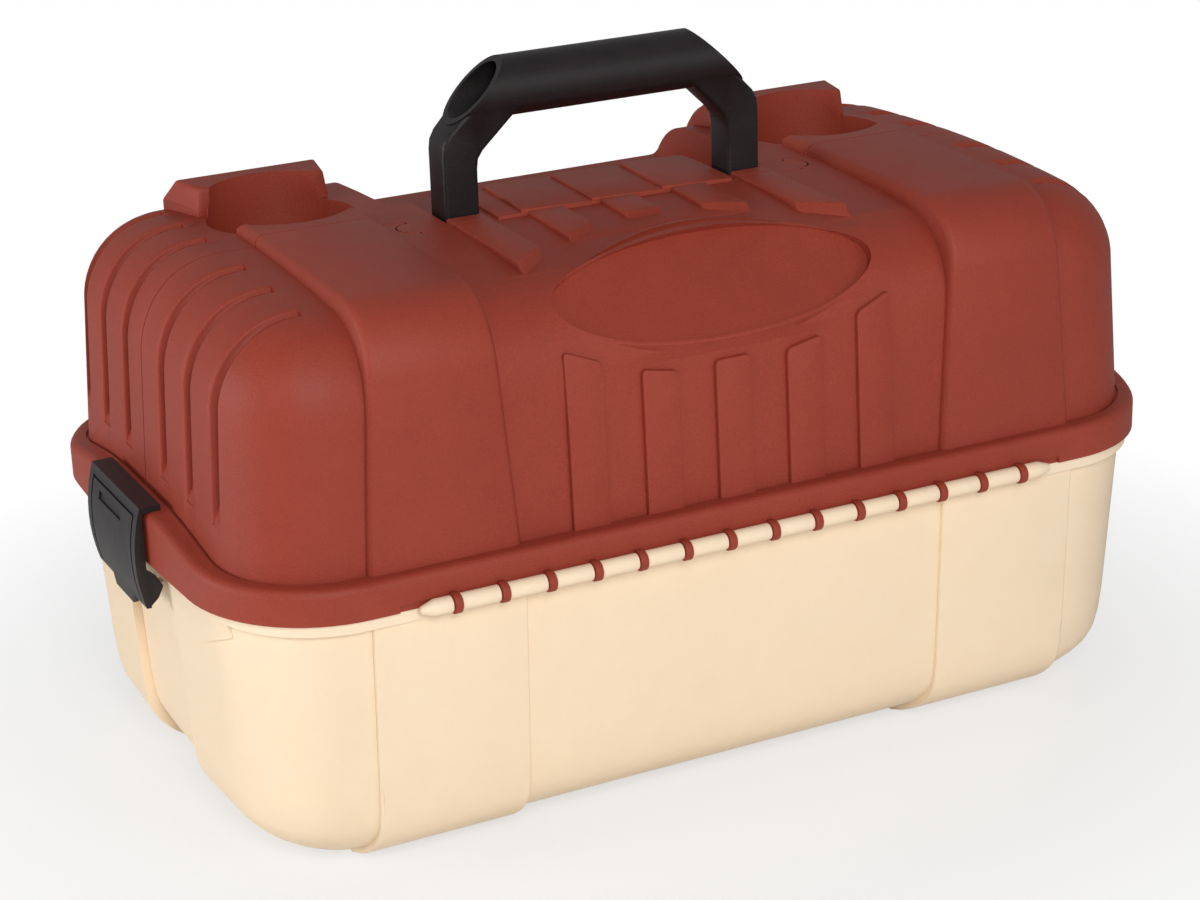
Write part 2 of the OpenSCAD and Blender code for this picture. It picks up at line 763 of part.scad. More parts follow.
// Rods on both ends of a tray, at the pivots of the lower and of the upper arms
module tray_rods(level, r, x0, x1, end) {
    z = tray_z(level) + tray_pivot_up;
    for (s = [0, 1]) mirror([s, 0, 0]) {
        if (level < 2) for (y = lower_pins(level)) rod_x(x0, min(end, arm_x + arm_t + 0.3), r, -y, z);
        for (y = upper_pins(level)) rod_x(x1, end, r, -y, z);
    }
}

// The pins on both ends of a tray that the arms turn on
module tray_pins(level) {
    color(steel) tray_rods(level, arm_pin_d / 2, tray_pin_in + 1, tray_pin_in + 1, upper_arm_x + arm_t + 0.4);
}

// A pair of flat arms, one at each end of the box, whose lowest pivot is at y, z
module arms(x, y, z) {
    color(steel) for (s = [0, 1]) mirror([s, 0, 0])
        translate([x, -y, z]) rotate([-arm_lean, 0, 0]) difference() {
            union() {
                translate([0, -arm_w / 2, 0]) cube([arm_t, arm_w, 2 * arm_pitch]);
                for (k = [0, 2]) rod_x(0, arm_t, arm_w / 2, 0, k * arm_pitch);
            }
            for (k = [0 : 2]) rod_x(-1, arm_t + 1, arm_pin_d / 2 + run_fit, 0, k * arm_pitch);
        }
}

module lower_arm(k) {
    arms(arm_x, lower_arm_y - k * lower_arm_step, arm_z);
}

module upper_arm(k) {
    arms(upper_arm_x, upper_arm_y - k * upper_arm_step, low_z + tray_pivot_up);
}

module rear() {
    mirror([0, 1, 0]) children();
}

base_tub();
arm_base_pins();
hinge_pin(-1);  // front_hinge_pin
hinge_pin(1);  // rear_hinge_pin
front_lid();
rear_lid();
handle();
handle_pins();
mirror([1, 0, 0]) latch();  // left_latch
latch();  // right_latch
mirror([1, 0, 0]) latch_pin();  // left_latch_pin
latch_pin();  // right_latch_pin
tray(0);  // front_low_tray
tray(1);  // front_mid_tray
tray(2);  // front_top_tray
rear() tray(0);  // rear_low_tray
rear() tray(1);  // rear_mid_tray
rear() tray(2);  // rear_top_tray
dividers(0);  // front_low_dividers
dividers(1);  // front_mid_dividers
dividers(2);  // front_top_dividers
rear() dividers(0);  // rear_low_dividers
rear() dividers(1);  // rear_mid_dividers
rear() dividers(2);  // rear_top_dividers
tray_pins(0);  // front_low_pins
tray_pins(1);  // front_mid_pins
tray_pins(2);  // front_top_pins
rear() tray_pins(0);  // rear_low_pins
rear() tray_pins(1);  // rear_mid_pins
rear() tray_pins(2);  // rear_top_pins
lower_arm(0);  // front_lower_arm_outer
lower_arm(1);  // front_lower_arm_inner
upper_arm(0);  // front_upper_arm_outer
upper_arm(1);  // front_upper_arm_inner
rear() lower_arm(0);  // rear_lower_arm_outer
rear() lower_arm(1);  // rear_lower_arm_inner
rear() upper_arm(0);  // rear_upper_arm_outer
rear() upper_arm(1);  // rear_upper_arm_inner
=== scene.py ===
# %% [markdown]
# # A hip-roof tackle cabinet
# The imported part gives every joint, tray and arm its place. This lesson dresses it: the two brown lids, the
# cream base, the black handle and the latches are modelled again with their soft edges, ribs and grooves, and
# every surface gets a moulded-plastic or steel finish. Lengths in this file are millimetres unless a name says
# otherwise, and each mesh is brought to metres as it is made.

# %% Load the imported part
import json
import math

import bpy
from mathutils import Matrix, Vector

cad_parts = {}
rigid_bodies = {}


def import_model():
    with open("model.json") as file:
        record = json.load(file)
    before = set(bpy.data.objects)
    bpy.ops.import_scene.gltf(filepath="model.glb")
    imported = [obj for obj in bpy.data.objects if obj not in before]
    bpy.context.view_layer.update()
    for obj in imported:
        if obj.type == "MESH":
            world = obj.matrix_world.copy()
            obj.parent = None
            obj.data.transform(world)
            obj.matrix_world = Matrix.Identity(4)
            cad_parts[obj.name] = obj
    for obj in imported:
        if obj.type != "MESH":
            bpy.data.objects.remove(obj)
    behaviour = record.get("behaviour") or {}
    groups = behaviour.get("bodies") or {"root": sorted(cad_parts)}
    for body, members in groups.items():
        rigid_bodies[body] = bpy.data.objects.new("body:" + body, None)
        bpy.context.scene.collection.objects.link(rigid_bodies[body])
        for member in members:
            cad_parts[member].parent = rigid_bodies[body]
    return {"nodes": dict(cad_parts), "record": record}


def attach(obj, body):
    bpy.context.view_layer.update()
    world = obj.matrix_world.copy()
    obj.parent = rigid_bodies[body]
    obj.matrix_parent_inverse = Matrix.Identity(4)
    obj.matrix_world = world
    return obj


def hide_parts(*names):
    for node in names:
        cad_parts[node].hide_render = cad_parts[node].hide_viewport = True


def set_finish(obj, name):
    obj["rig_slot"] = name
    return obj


for o in list(bpy.data.objects):
    bpy.data.objects.remove(o)
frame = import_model()
bpy.context.view_layer.update()
MM = 0.001
scene = bpy.context.scene

# %% [markdown]
# ## The camera
# The photograph was taken from the front left and a little above. Its direction, distance and lens were worked
# out from the box's own straight edges, so the render can be laid over the photograph.

# %% Camera
CAMERA_PLACE = (-0.63797, -1.27799, 0.68933)
AZIMUTH, ELEVATION, ROLL = (math.radians(a) for a in (-26.396, 20.954, -1.774))
SENSOR_MM, LENS_MM = 36, 85.23
level = math.cos(ELEVATION)
back = Vector((math.sin(AZIMUTH) * level, -math.cos(AZIMUTH) * level, math.sin(ELEVATION)))
side = Vector((0, 0, 1)).cross(back).normalized()
up = back.cross(side)
right = math.cos(ROLL) * side + math.sin(ROLL) * up
upward = math.cos(ROLL) * up - math.sin(ROLL) * side
bpy.ops.object.camera_add()
camera = bpy.context.object
camera.matrix_world = Matrix((right, upward, back)).transposed().to_4x4()
camera.location = CAMERA_PLACE
camera.data.sensor_width = SENSOR_MM
camera.data.lens = LENS_MM
camera.data.clip_end = 50
scene.camera = camera
print("camera at", CAMERA_PLACE)

# %% [markdown]
# ## Small tools for modelling
# Every piece starts as a primitive at its real size. These helpers select edges by where they lie, round them,
# and join or cut solids, so that each piece below reads as the steps a person would take by hand.

# %% Helpers for making and shaping


def only(o):
    """Selects o alone and makes it active."""
    if bpy.context.object and bpy.context.object.mode != "OBJECT":
        bpy.ops.object.mode_set(mode="OBJECT")
    bpy.ops.object.select_all(action="DESELECT")
    o.select_set(True)
    bpy.context.view_layer.objects.active = o
    return o


def settle(o, name):
    """Names o and moves its place, turn and scale into its mesh."""
    o.name = name
    o.data.name = name
    only(o)
    bpy.ops.object.transform_apply(location=True, rotation=True, scale=True)
    return o


def box(name, x, y, z):
    """A block from the low to the high value of each axis."""
    spans = (x, y, z)
    bpy.ops.mesh.primitive_cube_add(size=1, location=[sum(s) / 2 * MM for s in spans])
    bpy.context.object.scale = [(s[1] - s[0]) * MM for s in spans]
    return settle(bpy.context.object, name)


def rod(name, start, end, r, sides=48, r_end=None):
    """A round bar between two points, or a cone if r_end is given."""
    a, b = Vector(start) * MM, Vector(end) * MM
    bpy.ops.mesh.primitive_cone_add(
        vertices=sides, radius1=r * MM, radius2=(r if r_end is None else r_end) * MM, depth=(b - a).length,
        location=(a + b) / 2, rotation=(b - a).to_track_quat("Z", "Y").to_euler())
    return settle(bpy.context.object, name)


def pick(o, kind, test):
    """Selects the vertices, edges or faces of o whose points, in millimetres, pass the test, in edit mode."""
    only(o)
    bpy.ops.object.mode_set(mode="EDIT")
    bpy.ops.mesh.select_mode(type=kind)
    bpy.ops.mesh.select_all(action="DESELECT")
    bpy.ops.object.mode_set(mode="OBJECT")
    points = [v.co / MM for v in o.data.vertices]
    if kind == "VERT":
        for v in o.data.vertices:
            v.select = test(points[v.index])
    else:
        for part in o.data.edges if kind == "EDGE" else o.data.polygons:
            part.select = test([points[i] for i in part.vertices])
    bpy.ops.object.mode_set(mode="EDIT")


def round_edges(o, test, width, segments=4, profile=0.5):
    """Rounds the edges whose two points pass the test; a profile under 0.5 is flatter, like a chamfer."""
    pick(o, "EDGE", test)
    bpy.ops.mesh.bevel(offset=width * MM, segments=segments, profile=profile, affect="EDGES", clamp_overlap=False)
    bpy.ops.object.mode_set(mode="OBJECT")
    return o


def slice_at(o, axis, values):
    """Adds a ring of points where a plane across the axis meets o."""
    for value in values:
        pick(o, "FACE", lambda p: True)
        place, normal = [0, 0, 0], [0, 0, 0]
        place[axis], normal[axis] = value * MM, 1
        bpy.ops.mesh.bisect(plane_co=place, plane_no=normal)
        bpy.ops.object.mode_set(mode="OBJECT")
    return o


def reshape(o, rule):
    """Moves each point of o to where the rule says, in millimetres."""
    for v in o.data.vertices:
        v.co = Vector(rule(*(v.co / MM))) * MM
    o.data.update()
    return o


def joined(name, pieces):
    """Puts several meshes into one object, without welding them."""
    only(pieces[0])
    for p in pieces:
        p.select_set(True)
    if len(pieces) > 1:
        bpy.ops.object.join()
    return settle(bpy.context.object, name)


def boolean(o, tools, operation):
    """Cuts, adds or keeps the shape of the tools, which are used up."""
    for tool in tools:
        step = o.modifiers.new("step", "BOOLEAN")
        step.operation = operation
        step.solver = "MANIFOLD"
        step.object = tool
        only(o)
        bpy.ops.object.modifier_apply(modifier=step.name)
        bpy.data.objects.remove(tool)
    return o


def copy_of(o, name):
    """A copy of o with a mesh of its own."""
    twin = o.copy()
    twin.data = o.data.copy()
    twin.name = twin.data.name = name
    scene.collection.objects.link(twin)
    return twin


def mirrored(o, name, axis):
    """A copy of o reflected across the middle plane of an axis, facing outwards."""
    twin = reshape(copy_of(o, name), lambda *p: [-c if i == axis else c for i, c in enumerate(p)])
    pick(twin, "FACE", lambda p: True)
    bpy.ops.mesh.flip_normals()
    bpy.ops.object.mode_set(mode="OBJECT")
    return twin


def finish_piece(o, body, slot_name, *nodes, angle=38):
    """Welds, smooths and hands a finished piece to the body that carries it."""
    pick(o, "FACE", lambda p: True)
    bpy.ops.mesh.remove_doubles(threshold=0.00002)
    bpy.ops.mesh.dissolve_degenerate(threshold=0.00001)
    bpy.ops.object.mode_set(mode="OBJECT")
    only(o)
    bpy.ops.object.shade_smooth_by_angle(angle=math.radians(angle))
    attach(o, body)
    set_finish(o, slot_name)
    if nodes:
        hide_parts(*nodes)
    print(o.name, "has", len(o.data.polygons), "faces")
    return o


# %% [markdown]
# ## The body of the lids
# Both lids are cut from one rounded block, which is how they meet so neatly. The block starts as a cube. Its
# upright corners are bevelled first and its top edges next, its walls lean in a little, as moulded walls must
# to leave their mould, and its top is bowed so that rain runs off.

# %% The rounded block and its profile
# Heights of the rim's top, of the point where the shoulder starts, and of the flat top
RIM_TOP, WALL_TOP, DECK = 166.0, 241.0, 283.5
# From the middle to the walls, and the radii of the top edges and of the upright corners
BODY_X, BODY_Y = 251.5, 139.0
SHOULDER, CORNER = 43.0, 50.0
# How far the walls lean out at the rim, the bow of the deck and the bulge of the ends
LEAN_X, LEAN_Y = 4.0, 3.5
CROWN, CROWN_Y = 3.8, 97
BULGE, BULGE_START = 2.5, 1.5


def smooth(t):
    """Goes gently from 0 to 1 as t does."""
    t = min(1, max(0, t))
    return t * t * (3 - 2 * t)


def lean(x, y, z):
    """The slope of the walls, and the bow of the deck."""
    t = max(0, (WALL_TOP - z) / (WALL_TOP - RIM_TOP))
    bow = CROWN * max(0, 1 - (y / CROWN_Y) ** 2) * smooth((z - WALL_TOP) / (DECK - WALL_TOP - 6))
    near_end = smooth((abs(x) - 150) / 90)
    out = (BULGE * (1 - (y / BODY_Y) ** 2) * near_end - BULGE_START) * near_end
    return x * (1 + LEAN_X * t / BODY_X) + (out if x > 0 else -out), y * (1 + LEAN_Y * t / BODY_Y), z + bow


def side_wall(z):
    """How far the side wall is from the middle at height z."""
    if z < WALL_TOP:
        return BODY_Y + LEAN_Y * (WALL_TOP - z) / (WALL_TOP - RIM_TOP)
    return BODY_Y - SHOULDER + math.sqrt(max(0, SHOULDER ** 2 - (z - DECK + SHOULDER) ** 2))


def rounded_block(name, inset, inset_x, bottom, segments):
    """The lids' outer form, or the same form set in for a hollow or out for a cutter."""
    top = DECK - inset
    o = box(name, (-BODY_X + inset_x, BODY_X - inset_x), (-BODY_Y + inset, BODY_Y - inset), (bottom, top))
    round_edges(o, lambda p: abs(p[0].z - p[1].z) > 9, CORNER - inset, segments)
    round_edges(o, lambda p: min(p[0].z, p[1].z) > top - 0.1, SHOULDER - inset, segments)
    slice_at(o, 1, (-90, -72, -54, -36, -18, 0, 18, 36, 54, 72, 90))
    return reshape(o, lean)


lids = rounded_block("lids", 0, 0, RIM_TOP - 6, 14)
print("lids block:", len(lids.data.polygons), "faces")

# %% [markdown]
# ## The rim
# A lip runs round the foot of the lids and sits on the base. Its ends rise to where each latch hooks over them, and
# a fine channel parts it from the walls.

# %% Rim
RIM_X, RIM_Y, RIM_BOTTOM = 270.0, 153.5, 148.3
RIM_CORNER, LIP_RISE, CREASE = 66, 15, 1.4


def bowed(x, y, by=4.2):
    """The ends are bowed in plan, so their corners lie a few millimetres further in."""
    return x - math.copysign(by * smooth(abs(y) / 125) * smooth((abs(x) - 120) / 90), x)


def rim_block(name, inset, z0, z1):
    """The rim's outline between two heights, or the same set in for a hollow."""
    o = box(name, (-RIM_X + inset, RIM_X - inset), (-RIM_Y + inset, RIM_Y - inset), (z0, z1))
    round_edges(o, lambda p: abs(p[0].z - p[1].z) > 9, RIM_CORNER - inset, 16)
    slice_at(o, 1, (-75, -50, -25, 0, 25, 50, 75))
    return reshape(o, lambda x, y, z: (bowed(x, y), y, z))


def raised_end(x, y, z):
    """The rise of the lip towards the middle of each end, highest next to the wall."""
    across = smooth((abs(x) - 226) / 14) * (1 - 0.36 * smooth((abs(x) - 251) / 8))
    return x, y, z + LIP_RISE * smooth((121 - abs(y)) / 90) * across * smooth((z - 150) / 15)


def rim_top_edge(p):
    """The edges along the outside of the rim's top, without those that cross it."""
    along_side = min(abs(q.y) for q in p) > RIM_Y - 0.1
    round_end = min(abs(q.x) for q in p) > 180 and abs(p[0].x - p[1].x) < 60
    return min(p[0].z, p[1].z) > RIM_TOP - 0.1 and (along_side or round_end)


rim = rim_block("rim", 0, RIM_BOTTOM, RIM_TOP)
round_edges(rim, rim_top_edge, 4, 4)
slice_at(rim, 0, [s * x for s in (-1, 1) for x in (228, 233, 238, 242, 251, 254, 257, 260)])
slice_at(rim, 1, [s * y for s in (-1, 1) for y in (12, 37, 62, 87, 98, 108)])
boolean(rim, [rounded_block("crease", -CREASE, -CREASE, RIM_TOP - CREASE, 14)], "DIFFERENCE")
boolean(lids, [reshape(rim, raised_end)], "UNION")

# %% [markdown]
# ## Straps, ribs and blocks
# Two broad straps cross both lids. They are wider at the foot than on the deck, stand a few millimetres proud,
# and have chamfered edges. Five upright ribs stiffen the front and five blocks fan out over the deck.

# %% Straps
STRAP_X, STRAP_HALF, STRAP_TOP = 158.0, 31.5, 291.2
STRAP_SHOULDER, STRAP_EDGE = 34, 3.4


def strap(name, s):
    """The left (-1) or the right (1) strap, from foot to foot over both lids."""
    o = box(name, (-STRAP_HALF, STRAP_HALF), (-143, 143), (RIM_TOP - 4, STRAP_TOP))
    round_edges(o, lambda p: min(p[0].z, p[1].z) > STRAP_TOP - 0.1 and abs(p[0].y - p[1].y) < 1, STRAP_SHOULDER, 14)
    slice_at(o, 1, (-70, -35, 0, 35, 70))
    round_edges(o, lambda p: abs(p[0].x - p[1].x) < 0.01 and abs(p[0].x) > 31
                and (min(p[0].z, p[1].z) > 170 or abs(p[0].z - p[1].z) > 20), STRAP_EDGE, 3, 0.4)
    def place(x, y, z):
        foot = (STRAP_TOP - z) / (STRAP_TOP - RIM_TOP)
        wall = 1 + 3.2 * max(0, 245 - z) / 79 / 142
        return s * STRAP_X + x * (1 + 0.275 * smooth(foot * 1.02)), y * wall, z + 1.6 * max(0, 1 - (y / 100) ** 2)
    return reshape(o, place)


boolean(lids, [strap("strap", -1), strap("strap", 1)], "UNION")

# %% Ribs on the side walls
RIB_W, RIB_OUT, RIB_TOP = 20.0, 2.6, 200
RIB_FOOT = RIM_TOP - 4


def rib(name, x, inner_top, outer_top):
    """One upright rib whose top slopes from its inner to its outer edge."""
    o = box(name, (x - RIB_W / 2, x + RIB_W / 2), (-160, -128), (RIB_FOOT, RIB_TOP))
    slice_at(o, 2, (171, 184))
    out = 1 if x >= 0 else -1
    def place(px, py, pz):
        top = inner_top + (outer_top - inner_top) * (0.5 + out * (px - x) / RIB_W)
        z = RIB_FOOT + (pz - RIB_FOOT) / (RIB_TOP - RIB_FOOT) * (top - RIB_FOOT)
        return px, -(side_wall(z) + RIB_OUT) if py < -150 else py, z
    reshape(o, place)
    round_edges(o, lambda p: min(p[0].z, p[1].z) > 230 and abs(p[0].y - p[1].y) > 5, 3, 3)
    return round_edges(o, lambda p: max(p[0].y, p[1].y) < -131 and (min(p[0].z, p[1].z) > 225
                       or abs(p[0].x - p[1].x) < 0.01), 1.1, 2)


# Where each rib stands, and the heights of its inner and outer top corner
RIBS = ((0, 237, 237), (40, 235.5, 239.5), (-40, 235.5, 239.5), (80.5, 247, 255), (-80.5, 247, 255))
ribs = [rib("rib", *r) for r in RIBS]
boolean(lids, [mirrored(r, "rib", 1) for r in ribs] + ribs, "UNION")

# %% Blocks on the front deck
# Where each block lies, and how far its inner and outer corner reach to the front
BLOCK_W = 20
BLOCKS = ((0, 58, 58), (41, 63, 76), (-41, 63, 76), (82, 87, 104), (-82, 87, 104))


def block(name, x, inner_reach, outer_reach):
    """One block, level on top, with a steep front that is cut at a slant."""
    o = box(name, (x - BLOCK_W / 2, x + BLOCK_W / 2), (-100, -10), (270, 289))
    slice_at(o, 1, (-90,))
    out = 1 if x >= 0 else -1
    def place(px, py, pz):
        reach = inner_reach + (outer_reach - inner_reach) * (0.5 + out * (px - x) / BLOCK_W)
        if py < -95:
            return px, -reach - (2 if pz < 280 else 0), pz if pz < 280 else 281.5
        if py < -50:
            return px, -reach + 9, pz
        return px, py, pz
    reshape(o, place)
    return round_edges(o, lambda p: min(p[0].z, p[1].z) > 280.5, 1.1, 2)


boolean(lids, [block("block", *b) for b in BLOCKS], "UNION")
print("lids with ribs and blocks:", len(lids.data.polygons), "faces")

# %% [markdown]
# ## The oval plaque
# A flat oval sits on the front shoulder, tilted back by 44 degrees, with a raised lip over its upper edge. It is
# left bare, in the grained plastic of the lid.

# %% Plaque
PLAQUE = Matrix.Translation((0, -0.1212, 0.2697)) @ Matrix.Rotation(math.radians(44), 4, "X")


def oval(name, a, b, low, high, a_low=None, b_low=None):
    """An upright oval plug in the plaque's own plane, which may widen downwards."""
    bpy.ops.mesh.primitive_cylinder_add(vertices=96, radius=1, depth=1)
    o = settle(bpy.context.object, name)
    for v in o.data.vertices:
        lower = v.co.z < 0
        v.co = Vector((v.co.x * ((a_low or a) if lower else a), v.co.y * ((b_low or b) if lower else b),
                       low if lower else high)) * MM
    o.data.transform(PLAQUE)
    return o


HOOD_HALF = 60


def ridge_y(x):
    """The far edge of the raised lip, which curves with the plaque."""
    return -87.2 - 14.0 * (x / HOOD_HALF) ** 2


def ridge_z(x):
    """The height of the raised lip, which sinks into the deck towards its ends."""
    return 292.6 - 8.6 * (x / HOOD_HALF) ** 2


def hood_block(name):
    """The raised lip as a solid that runs down under the plaque."""
    o = box(name, (-65, 65), (-116, -87), (262, ridge_z(0)))
    slice_at(o, 0, range(-HOOD_HALF, HOOD_HALF + 1, 6))
    reshape(o, lambda x, y, z: (x, y if y < -100 else ridge_y(x), z if z < 280 else ridge_z(x)))
    return round_edges(o, lambda p: min(p[0].z, p[1].z) > 280
                       and max(abs(q.y - ridge_y(q.x)) for q in p) < 0.1, 0.7, 2)


def hood_scoop(name):
    """A tapering round cutter for the hollow between the lip and the plaque."""
    o = rod(name, (-58, 0, 0), (58, 0, 0), 1, 20)
    slice_at(o, 0, range(-54, 55, 6))
    def place(x, y, z):
        r = 3.7 * (1 - (x / HOOD_HALF) ** 2) + 0.3
        lip = 2.6 * (1 - (x / 62) ** 2) + 0.4
        return x, ridge_y(x) - lip - r + y * r, ridge_z(x) - 0.4 * r + z * r * 1.15
    return reshape(o, place)


pod = oval("pod", 90, 31, -14, 0, 92, 34)
round_edges(pod, lambda p: all((PLAQUE.inverted() @ (q * MM)).z > -0.0001 for q in p), 0.8, 3)
boolean(lids, [hood_block("hood"), pod], "UNION")
face = oval("face", 88, 29, -0.9, 30)
boolean(lids, [hood_scoop("scoop"), face], "DIFFERENCE")

# %% [markdown]
# ## Grooves on the ends
# Six deep grooves run up each end wall and over the shoulder. The cutter is a bar that follows the wall's outline,
# narrow and steep inside the wall and flared near its skin, so each groove gets soft lips. The lip on the front side
# is the softer one.

# %% End grooves
GROOVES = (-98.0, -63.7, -27.5, 27.5, 63.7, 98.0)
GROOVE_FOOT, GROOVE_END, SHALLOW = 187, 204.8, 0.42
# At each distance out from the wall's skin, the groove's reach to the back and to the front of its middle
REACH_BACK = {-5.2: 2.0, -4.4: 2.8, -2.6: 3.2, -1.4: 3.3, -0.6: 3.5, -0.2: 3.9, 0.12: 4.6, 2: 6.5}
REACH_FRONT = {-5.2: 2.0, -4.4: 2.8, -2.6: 3.2, -1.4: 3.6, -0.6: 5.0, -0.2: 6.6, 0.12: 8.2, 2: 11.0}


def groove_tool(name, y):
    """A cutter that follows the end wall's outline: a slot with flared lips."""
    centre = (BODY_X - SHOULDER, DECK - SHOULDER)
    path = [(BODY_X, GROOVE_FOOT + t * (centre[1] - GROOVE_FOOT) / 5, -1, 0) for t in range(5)]
    for i in range(16):
        c, n = math.cos(math.radians(i * 6)), math.sin(math.radians(i * 6))
        path.append((centre[0] + SHOULDER * c, centre[1] + SHOULDER * n, -c, -n))
    path.append((GROOVE_END, DECK, 0, -1))
    levels = sorted(REACH_BACK)
    o = box(name, (levels[0], levels[-1]), (-1, 1), (0, len(path) - 1))
    slice_at(o, 2, range(1, len(path) - 1))
    slice_at(o, 0, levels[1:-1])
    def place(px, py, pz):
        out = min(levels, key=lambda k: abs(k - px))
        x, z, in_x, in_z = path[round(pz)]
        x, _, z = lean(x, y, z)
        share = 1 - SHALLOW * smooth((pz - 10) / 9) if out < 0 else 1
        slant = 4 * (-out - 0.5) * 0.6 if out < -0.5 and round(pz) == 0 else 0
        reach = REACH_BACK[out] if py > 0 else -REACH_FRONT[out]
        return x - in_x * out * share, y + reach, z - in_z * out * share + slant
    return reshape(o, place)


tools = [groove_tool("groove", y) for y in GROOVES]
boolean(lids, tools + [mirrored(t, "groove", 0) for t in tools], "DIFFERENCE")
print("lids with grooves:", len(lids.data.polygons), "faces")

# %% [markdown]
# ## Two lids from one block
# The lids part along the middle, but between the straps the rear lid reaches 22 mm over the front one, so that
# the handle can stand in the middle. Each lid keeps its own side of that line and is then hollowed out.

# %% Part the lids
HINGE_Y, HINGE_Z = 156.8, 149.0
TONGUE_X, TONGUE_Y, GAP = 110.0, 22.0, 0.5
SKIN, END_SKIN = 3.6, 8
RELIEF_X, RELIEF_R = 186, 4.6


def keep_side(o, s):
    """Keeps the front (-1) or the rear (1) lid."""
    back_y = s * GAP
    zone = box("zone", (-300, 300), (-220, back_y) if s < 0 else (back_y, 220), (100, 400))
    reach = TONGUE_X - s * GAP
    tongue = box("tongue", (-reach, reach), (-TONGUE_Y + back_y, 9), (90, 410))
    hooks = [rod("hook", (x, -11.5, 90), (x, -11.5, 410), 8.5 - s * GAP, 32) for x in (-TONGUE_X, TONGUE_X)]
    boolean(tongue, hooks, "UNION")
    boolean(zone, [tongue], "DIFFERENCE" if s < 0 else "UNION")
    return boolean(o, [zone], "INTERSECT")


def hollow(name):
    """The space inside both lids, with thicker walls at the ends for the grooves."""
    o = rounded_block(name, SKIN, END_SKIN, 100, 8)
    boolean(o, [rim_block("rim_hollow", 3.5, 140, 162.6)], "UNION")
    return o


def on_hinge(name, s, x0, x1, r, sides=48, r_end=None):
    """A round bar on the line of the front (-1) or the rear (1) hinge."""
    return rod(name, (x0, s * HINGE_Y, HINGE_Z), (x1, s * HINGE_Y, HINGE_Z), r, sides, r_end)


def hinge_relief(o, s):
    """Clears the rim round the base's barrels."""
    return boolean(o, [on_hinge("relief", s, -RELIEF_X, RELIEF_X, RELIEF_R)], "DIFFERENCE")


# %% Lid rings
RING_X = [(i - 6.5) * 24.5 for i in range(14)]
RING_HALF, RING_R, BORE_R = 2, 5.2, 1.6


def rings(name, s):
    """The fourteen thin rings that ride on the hinge pin, modelled once and copied."""
    first = on_hinge("ring", s, -RING_HALF, RING_HALF, RING_R, 40)
    web = box("web", (-1.4, 1.4), (150, HINGE_Y), (HINGE_Z + 1, HINGE_Z + 4.9))
    if s < 0:
        web = reshape(web, lambda x, y, z: (-x, -y, z))
    round_edges(first, lambda p: abs(abs(p[0].x) - RING_HALF) < 0.01 and abs(p[0].x - p[1].x) < 0.01, 0.5, 2)
    boolean(first, [web], "UNION")
    boolean(first, [on_hinge("bore", s, -4, 4, BORE_R, 24)], "DIFFERENCE")
    copies = []
    for x in RING_X:
        twin = copy_of(first, "ring")
        copies.append(reshape(twin, lambda px, py, pz, x=x: (px + x, py, pz)))
    bpy.data.objects.remove(first)
    return joined(name, copies)


# %% Front lid
front_lid = keep_side(copy_of(lids, "front_lid_shell"), -1)
front_hollow = hollow("front_hollow")
boolean(front_hollow, [oval("backing", 96, 38, -5, 40)], "DIFFERENCE")
boolean(front_lid, [front_hollow], "DIFFERENCE")
hinge_relief(front_lid, -1)
front_lid = joined("front_lid_shell", [front_lid, rings("rings", -1)])
finish_piece(front_lid, "front_lid", "lid_plastic", "front_lid")

# %% [markdown]
# ## The rear lid's top
# The rear lid carries the handle. Behind the handle is a trough that it folds into, each leg has a socket, and a
# round recess in each strap holds a cup, with a raised block behind it.

# %% Cup blocks, platform and sockets
CUP_X, CUP_Y, CUP_R = 158.0, 48.0, 38.0
WELL, WELL_OPEN, WELL_SKIN = 261.0, 340, 3
TROUGH_X, TROUGH_Y = 105, 33
SOCKET = (70.8, 92.6)
rear_lid = keep_side(lids, 1)


def cup_block(name, s):
    """The block behind a cup, wider towards the back and at its foot."""
    o = box(name, (-34, 34), (72.5, 97), (272, 299.8))
    slice_at(o, 2, (289,))
    def place(x, y, z):
        back = y > 90
        flare = 0 if z > 295 else 5
        return s * CUP_X + x * (1.14 if back else 1) + math.copysign(flare * 0.8, x) * (1 if back else 0.4), \
            y + (flare * 2 if back else 0), z
    reshape(o, place)
    return round_edges(o, lambda p: min(p[0].z, p[1].z) > 298 or abs(p[0].z - p[1].z) > 8
                       and min(p[0].z, p[1].z) > 287, 1.8, 3)


def shingle(name, x0, x1):
    """One tile of the middle, a little higher at its left edge than at its right."""
    o = box(name, (x0, x1 + 0.8), (-TONGUE_Y + 0.45, 32.6), (280, 290.4))
    reshape(o, lambda x, y, z: (x + y * 0.05, y, z - (1.5 * (x - x0) / (x1 - x0) if z > 285 else 0)))
    return round_edges(o, lambda p: min(p[0].z, p[1].z) > 285, 0.5, 2)


platform = box("platform", (-67.4, 67.4), (-TONGUE_Y + 0.35, 33), (262, 288.8))
round_edges(platform, lambda p: min(p[0].z, p[1].z) > 288, 1, 2)
TILE_EDGES = (-53.5, -13.5, 27.5, 62.5)
shingles = [shingle("shingle", x0, x1) for x0, x1 in zip(TILE_EDGES, TILE_EDGES[1:])]
boolean(platform, shingles, "UNION")
boolean(rear_lid, [cup_block("cup_block", -1), cup_block("cup_block", 1), platform], "UNION")


